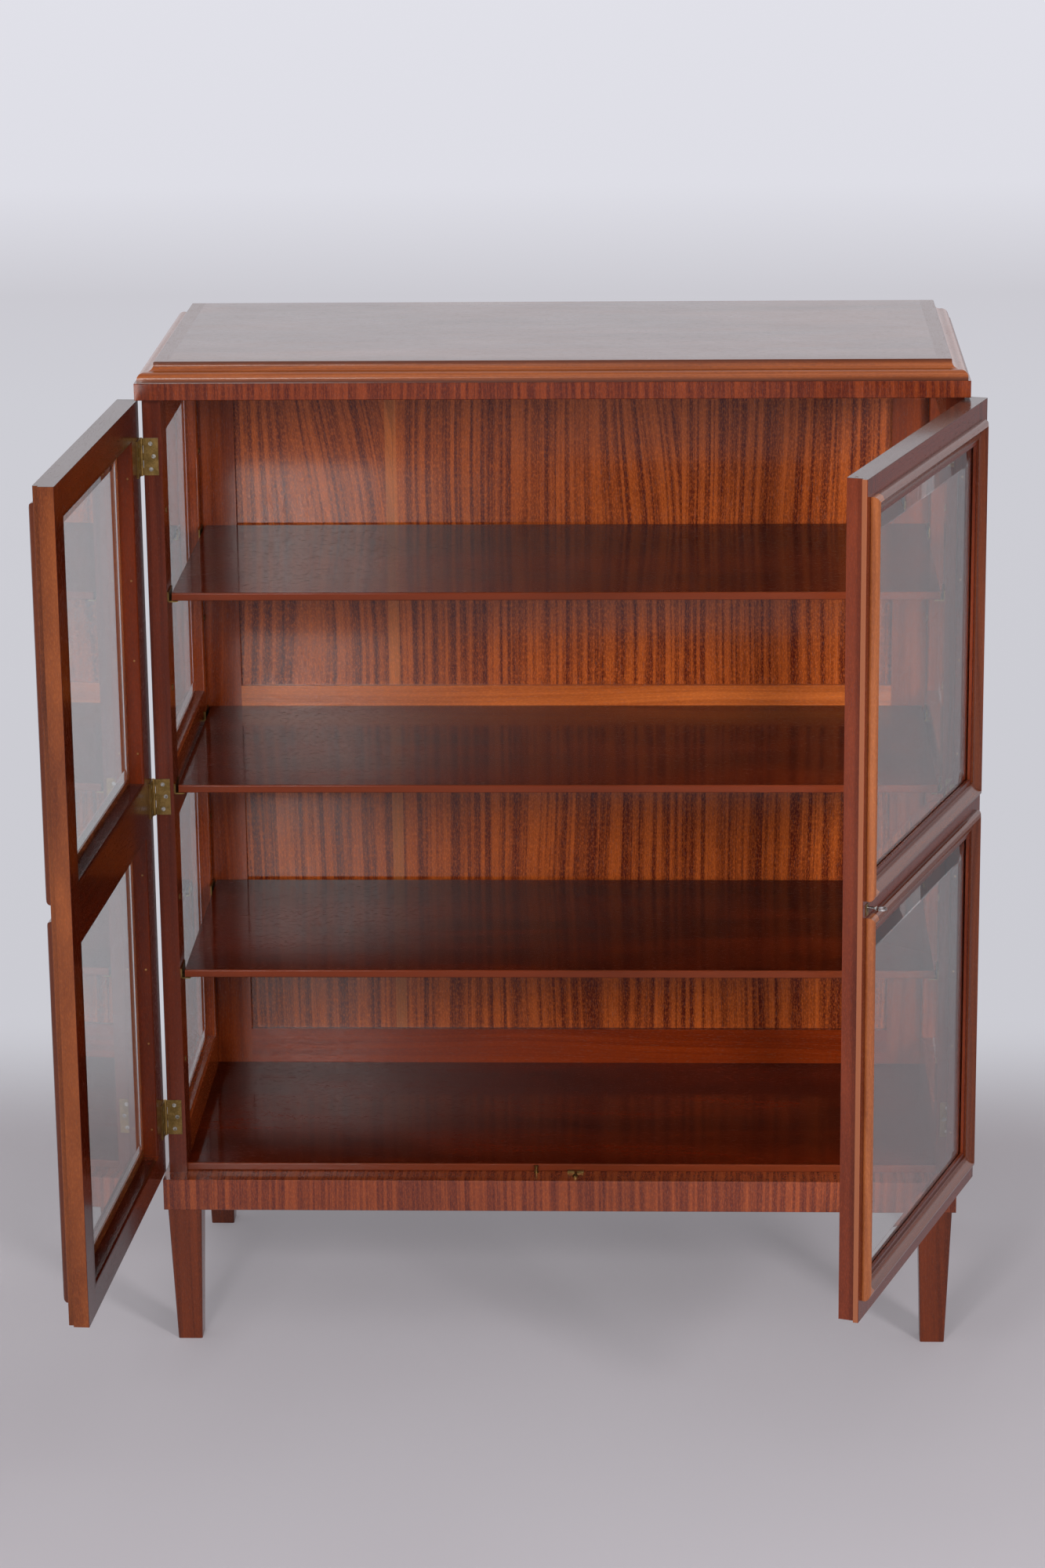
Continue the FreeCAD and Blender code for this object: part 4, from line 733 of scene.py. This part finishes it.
def head_centres(node, space, outward):
    """The middle of each screw head's face in a CAD node. Outward is -1 where heads look along -Y, or 1."""
    groups = []
    for vertex in frame["nodes"][node].data.vertices:
        point = space.into(vertex.co)
        for group in groups:
            if math.hypot(group[0].x - point.x, group[0].z - point.z) < SCREW_REACH:
                group.append(point)
                break
        else:
            groups.append([point])
    centres = []
    for group in groups:
        across = [point.x for point in group]
        levels = [point.z for point in group]
        face = outward * max(outward * point.y for point in group)
        centres.append(Vector(((min(across) + max(across)) / 2, face, (min(levels) + max(levels)) / 2)))
    return centres


def fit_screws(pattern, node, space, outward, body):
    """Puts a copy of the pattern on every screw of a node, each slot turned its own way."""
    stand = Matrix.Translation(space.origin) @ Matrix.Rotation(space.turn, 4, "Z")
    facing = Matrix.Rotation(-outward * math.pi / 2, 4, "X")
    bpy.ops.object.select_all(action="DESELECT")
    for index, centre in enumerate(head_centres(node, space, outward)):
        screw = bpy.data.objects.new(node, pattern.data.copy())
        bpy.context.collection.objects.link(screw)
        slot_turn = Matrix.Rotation(math.radians(NEXT_SLOT_DEG * index + FIRST_SLOT_DEG), 4, "Z")
        screw.matrix_world = stand @ Matrix.Translation(centre) @ facing @ slot_turn
        screw.select_set(True)
        if index == 0:
            bpy.context.view_layer.objects.active = screw
    bpy.ops.object.join()
    screws = bpy.context.object
    bpy.ops.object.transform_apply(location=True, rotation=True, scale=True)
    screws.name = f"{node}_slotted"
    screws.data.materials.append(screw_steel)
    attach(screws, body)
    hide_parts(node)


screw_pattern = slotted_screw()
fit_screws(screw_pattern, "cabinet_hinge_screws", CABINET, -1, "cabinet")
fit_screws(screw_pattern, "left_door_hinge_screws", LEFT_DOOR, 1, "left_door")
fit_screws(screw_pattern, "right_door_hinge_screws", RIGHT_DOOR, 1, "right_door")
bpy.data.objects.remove(screw_pattern)


# Floor, a flat plane whose far part glows in the backdrop's colours

FLOOR_REACH = 40.0
FLOOR_PATCHES = ((0.9, 0.9, 1.0), 2.0)
FLOOR_PATCH_EDGES = (0.3, 0.7)
NEAR_GLOW = 0.2  # how much of the floor is glow in front of the cabinet; behind it all of it is
GLOW_GROWS = (0.75, 1.4)
BACKDROP_DOUBLINGS = 4.6  # how often the distance doubles from 1 m to the end of the backdrop's colours
BACKDROP_STOPS = (
    (0.1, tint(203, 203, 210)),
    (0.6, tint(205, 205, 212)),
    (0.68, tint(203, 202, 209)),
    (0.76, tint(222, 222, 230)),
    (1.0, tint(226, 226, 234)),
)
DARK_SIDE = (0.2, 1.2)  # the X between which the glow that the right door's glass mirrors falls off
DARK_SIDE_SHADE = (0.55, 0.55, 0.55, 1)


def floor_finish():
    finish = Finish("studio_floor", Roughness=0.85, Specular_IOR_Level=0.2)
    x, y, z = finish.here()
    patches = finish.step(finish.noise((x, y, 0.0), *FLOOR_PATCHES), *FLOOR_PATCH_EDGES)
    finish.feed(Base_Color=finish.mix(patches, tint(195, 187, 193), tint(203, 196, 202)))
    doublings = finish.math("LOGARITHM", finish.math("MAXIMUM", y, 1.0), 2.0)
    backdrop = finish.node("ShaderNodeValToRGB", {"stops": BACKDROP_STOPS}, i0=doublings / BACKDROP_DOUBLINGS)
    mirrored = finish.math("GREATER_THAN", finish.ray("Glossy"), finish.ray("Transmission"))
    backdrop = finish.tinted(backdrop, mirrored * finish.step(x, *DARK_SIDE), DARK_SIDE_SHADE)
    glow = finish.node("ShaderNodeEmission", Color=backdrop, Strength=1.0)
    return finish.mixed_with(glow, finish.step(y, *GLOW_GROWS, NEAR_GLOW, 1.0))


bpy.ops.object.select_all(action="DESELECT")
bpy.ops.mesh.primitive_plane_add(size=2 * FLOOR_REACH, location=(0, 0, 0))
floor = bpy.context.object
floor.name = "studio_floor"
bpy.ops.object.transform_apply(location=True, rotation=True, scale=True)
floor.data.materials.append(floor_finish())


# Lamps and world

CABINET_MIDDLE = (0, 0.2, 0.8)
AMBIENT_COLOUR = (1.0, 0.99, 1.0, 1.0)
AMBIENT_STRENGTH = 0.36
SKY_COLOUR = (1.0, 1.0, 1.06, 1.0)
SKY_BRIGHTENS = (-0.5, 0.6)  # the direction's Y, from the front to the back
SKY_STRENGTHS = (0.05, 0.95)


def soft_light(name, place, target, width, height, radiance):
    """A soft rectangular light, whose face is as bright as radiance says."""
    lamp = bpy.data.lights.new(name, "AREA")
    lamp.shape = "RECTANGLE"
    lamp.size = width
    lamp.size_y = height
    lamp.energy = radiance * math.pi * width * height
    holder = bpy.data.objects.new(name, lamp)
    bpy.context.collection.objects.link(holder)
    holder.location = place
    aim = Vector(target) - Vector(place)
    holder.rotation_euler = aim.to_track_quat("-Z", "Y").to_euler()
    holder.visible_camera = False


def studio_world():
    """An even light on the cabinet, and a sky, dark in front and pale behind, that is seen and mirrored."""
    world = bpy.data.worlds.new("studio")
    bpy.context.scene.world = world
    world.use_nodes = True
    world.node_tree.nodes.clear()
    tree = Tree(world.node_tree)
    direction = tree.parts(tree.node("ShaderNodeTexCoord", output="Generated"))
    brightness = tree.step(direction[Y], *SKY_BRIGHTENS, *SKY_STRENGTHS)
    seen = tree.math("MAXIMUM", tree.ray("Camera"), tree.ray("Transmission"))
    seen_or_mirrored = tree.math("MAXIMUM", seen, tree.ray("Glossy"))
    ambient = tree.node("ShaderNodeBackground", Color=AMBIENT_COLOUR, Strength=AMBIENT_STRENGTH)
    sky = tree.node("ShaderNodeBackground", Color=SKY_COLOUR, Strength=brightness)
    shown = tree.node("ShaderNodeMixShader", i0=seen_or_mirrored, i1=ambient, i2=sky)
    output = world.node_tree.nodes.new("ShaderNodeOutputWorld")
    tree.plug(output.inputs["Surface"], shown)


soft_light("left_softbox", (-1.2, -5.0, 2.6), CABINET_MIDDLE, width=1.1, height=1.5, radiance=25.0)
soft_light("right_softbox", (3.0, -4.2, 2.4), CABINET_MIDDLE, width=0.8, height=1.0, radiance=48.0)
soft_light("overhead", (0.3, -2.2, 4.4), (0.1, 0, 1.0), width=2.4, height=2.0, radiance=0.8)
studio_world()


# Camera

CAMERA_PLACE = CABINET.origin + Vector((187.72 * MM, -5522.3 * MM, 2403.0 * MM))
CAMERA_YAW = -0.041982
CAMERA_PITCH = -0.281860
CAMERA_ROLL = -0.011685
CAMERA_LENS_MM = 97.855
CAMERA_FILM_MM = 36.0
CAMERA_SIGHT = 100.0


def set_camera():
    """Stands the camera where the photograph was taken from."""
    forward = Vector((
        math.sin(CAMERA_YAW) * math.cos(CAMERA_PITCH),
        math.cos(CAMERA_YAW) * math.cos(CAMERA_PITCH),
        math.sin(CAMERA_PITCH),
    ))
    level_right = Vector((math.cos(CAMERA_YAW), -math.sin(CAMERA_YAW), 0))
    level_up = level_right.cross(forward)
    right = level_right * math.cos(CAMERA_ROLL) + level_up * math.sin(CAMERA_ROLL)
    up = level_up * math.cos(CAMERA_ROLL) - level_right * math.sin(CAMERA_ROLL)
    lens = bpy.data.cameras.new("camera")
    lens.lens = CAMERA_LENS_MM
    lens.sensor_width = CAMERA_FILM_MM
    lens.sensor_fit = "AUTO"
    lens.clip_end = CAMERA_SIGHT
    camera = bpy.data.objects.new("camera", lens)
    bpy.context.collection.objects.link(camera)
    turn = Matrix((right, up, -forward)).transposed()
    camera.matrix_world = Matrix.Translation(CAMERA_PLACE) @ turn.to_4x4()
    bpy.context.scene.camera = camera


set_camera()
bpy.context.scene.view_settings.view_transform = "Standard"
